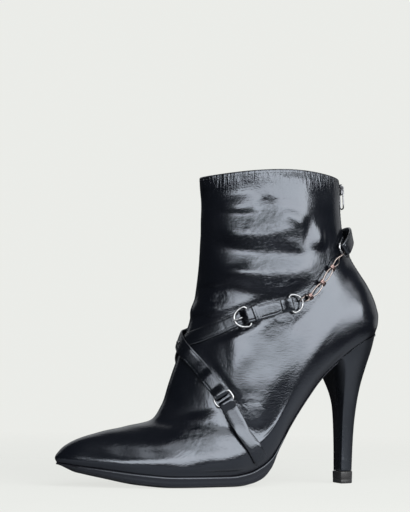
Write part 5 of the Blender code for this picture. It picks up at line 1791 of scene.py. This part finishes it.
def floor_look():
    """Pale lit paper: it glows evenly as seen, bounces a softer light, and fades into the background."""
    look, sheet, shader = new_look("pale_floor")
    spot = sheet.add("ShaderNodeTexCoord").outputs["Object"]
    paper = sheet.add("ShaderNodeTexNoise", Vector=spot, Scale=9.0, Detail=3.0)
    sheet.set(shader, "Base Color", sheet.mix(paper.outputs["Fac"], FLOOR_PALE, FLOOR_PATCHY))
    shader.inputs["Roughness"].default_value = 0.9
    shader.inputs["Specular IOR Level"].default_value = 0.0
    shader.inputs["Emission Color"].default_value = BACKGROUND
    shader.inputs["Emission Strength"].default_value = FLOOR_GLOW
    away = sheet.add("ShaderNodeVectorMath", {"operation": "LENGTH"})
    sheet.set(away, "0", spot)
    sheet.set(shader, "Alpha", sheet.spread(away.outputs["Value"], *FLOOR_FADE, 1.0, 0.0))
    aside = sheet.add("ShaderNodeSeparateXYZ", Vector=spot).outputs["Y"]
    open_side = sheet.math("MULTIPLY", sheet.spread(aside, *SHADED_FROM, 0.0, 1.0),
                           sheet.spread(away.outputs["Value"], *BOUNCE_FADE, 1.0, 0.0))
    bounce = sheet.add("ShaderNodeBsdfDiffuse", Color=sheet.mix(open_side, FLOOR_SHADED, FLOOR_BOUNCE))
    seen_direct = sheet.add("ShaderNodeLightPath").outputs["Is Camera Ray"]
    both = sheet.add("ShaderNodeMixShader")
    for key, socket in (("0", seen_direct), ("1", bounce.outputs[0]), ("2", shader.outputs[0])):
        sheet.set(both, key, socket)
    look.node_tree.links.new(both.outputs[0], look.node_tree.nodes["Material Output"].inputs["Surface"])
    return look


floor_mesh = bpy.data.meshes.new("floor")
floor_turns = [2 * pi * k / FLOOR_SIDES for k in range(FLOOR_SIDES)]
floor_mesh.from_pydata([(FLOOR_RADIUS * cos(a), FLOOR_RADIUS * sin(a), 0.0) for a in floor_turns], [],
                       [tuple(range(FLOOR_SIDES))])
floor_mesh.materials.append(floor_look())
floor = bpy.data.objects.new("floor", floor_mesh)
bpy.context.scene.collection.objects.link(floor)
floor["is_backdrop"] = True

for name, turn, rise, width, height, radiance in LIGHT_ROWS:
    flat = cos(radians(rise))
    toward_light = Vector((sin(radians(turn)) * flat, cos(radians(turn)) * flat, sin(radians(rise))))
    softbox_data = bpy.data.lights.new(name, "AREA")
    softbox_data.shape = "RECTANGLE"
    softbox_data.size = width
    softbox_data.size_y = height
    softbox_data.energy = pi * radiance * width * height
    softbox_data.color = LIGHT_COLOUR
    softbox = bpy.data.objects.new(name, softbox_data)
    softbox.location = AIM + LIGHT_AWAY * toward_light
    softbox.rotation_euler = toward_light.to_track_quat("Z", "Y").to_euler()
    softbox.visible_camera = False
    bpy.context.scene.collection.objects.link(softbox)

room = bpy.data.worlds.new("studio_room")
bpy.context.scene.world = room
room.use_nodes = True
room_sheet = Sheet(room.node_tree)
room.node_tree.nodes.clear()
seen = room_sheet.add("ShaderNodeLightPath").outputs["Is Camera Ray"]
glow = room_sheet.add("ShaderNodeBackground", Color=room_sheet.mix(seen, ROOM_DIM, BACKGROUND))
room_out = room_sheet.add("ShaderNodeOutputWorld")
room.node_tree.links.new(glow.outputs["Background"], room_out.inputs["Surface"])
bpy.context.scene.view_settings.view_transform = "Standard"

CAMERA_AT = Vector((0.4001, 1.0044, 0.0777))
CAMERA_AIM = Vector((0.0141, -0.001, 0.1587))
CAMERA_ROLL = 0.8
CAMERA_LENS = 108.6
CAMERA_SENSOR = 36.0
CAMERA_NEAR = 0.05
camera_data = bpy.data.cameras.new("photo_camera")
camera_data.lens = CAMERA_LENS
camera_data.sensor_width = CAMERA_SENSOR
camera_data.clip_start = CAMERA_NEAR
camera = bpy.data.objects.new("photo_camera", camera_data)
look_along = (CAMERA_AT - CAMERA_AIM).to_track_quat("Z", "Y").to_matrix().to_4x4()
rolled = Matrix.Rotation(radians(CAMERA_ROLL), 4, "Z")
camera.matrix_world = Matrix.Translation(CAMERA_AT) @ look_along @ rolled
bpy.context.scene.collection.objects.link(camera)
bpy.context.scene.camera = camera

low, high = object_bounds()
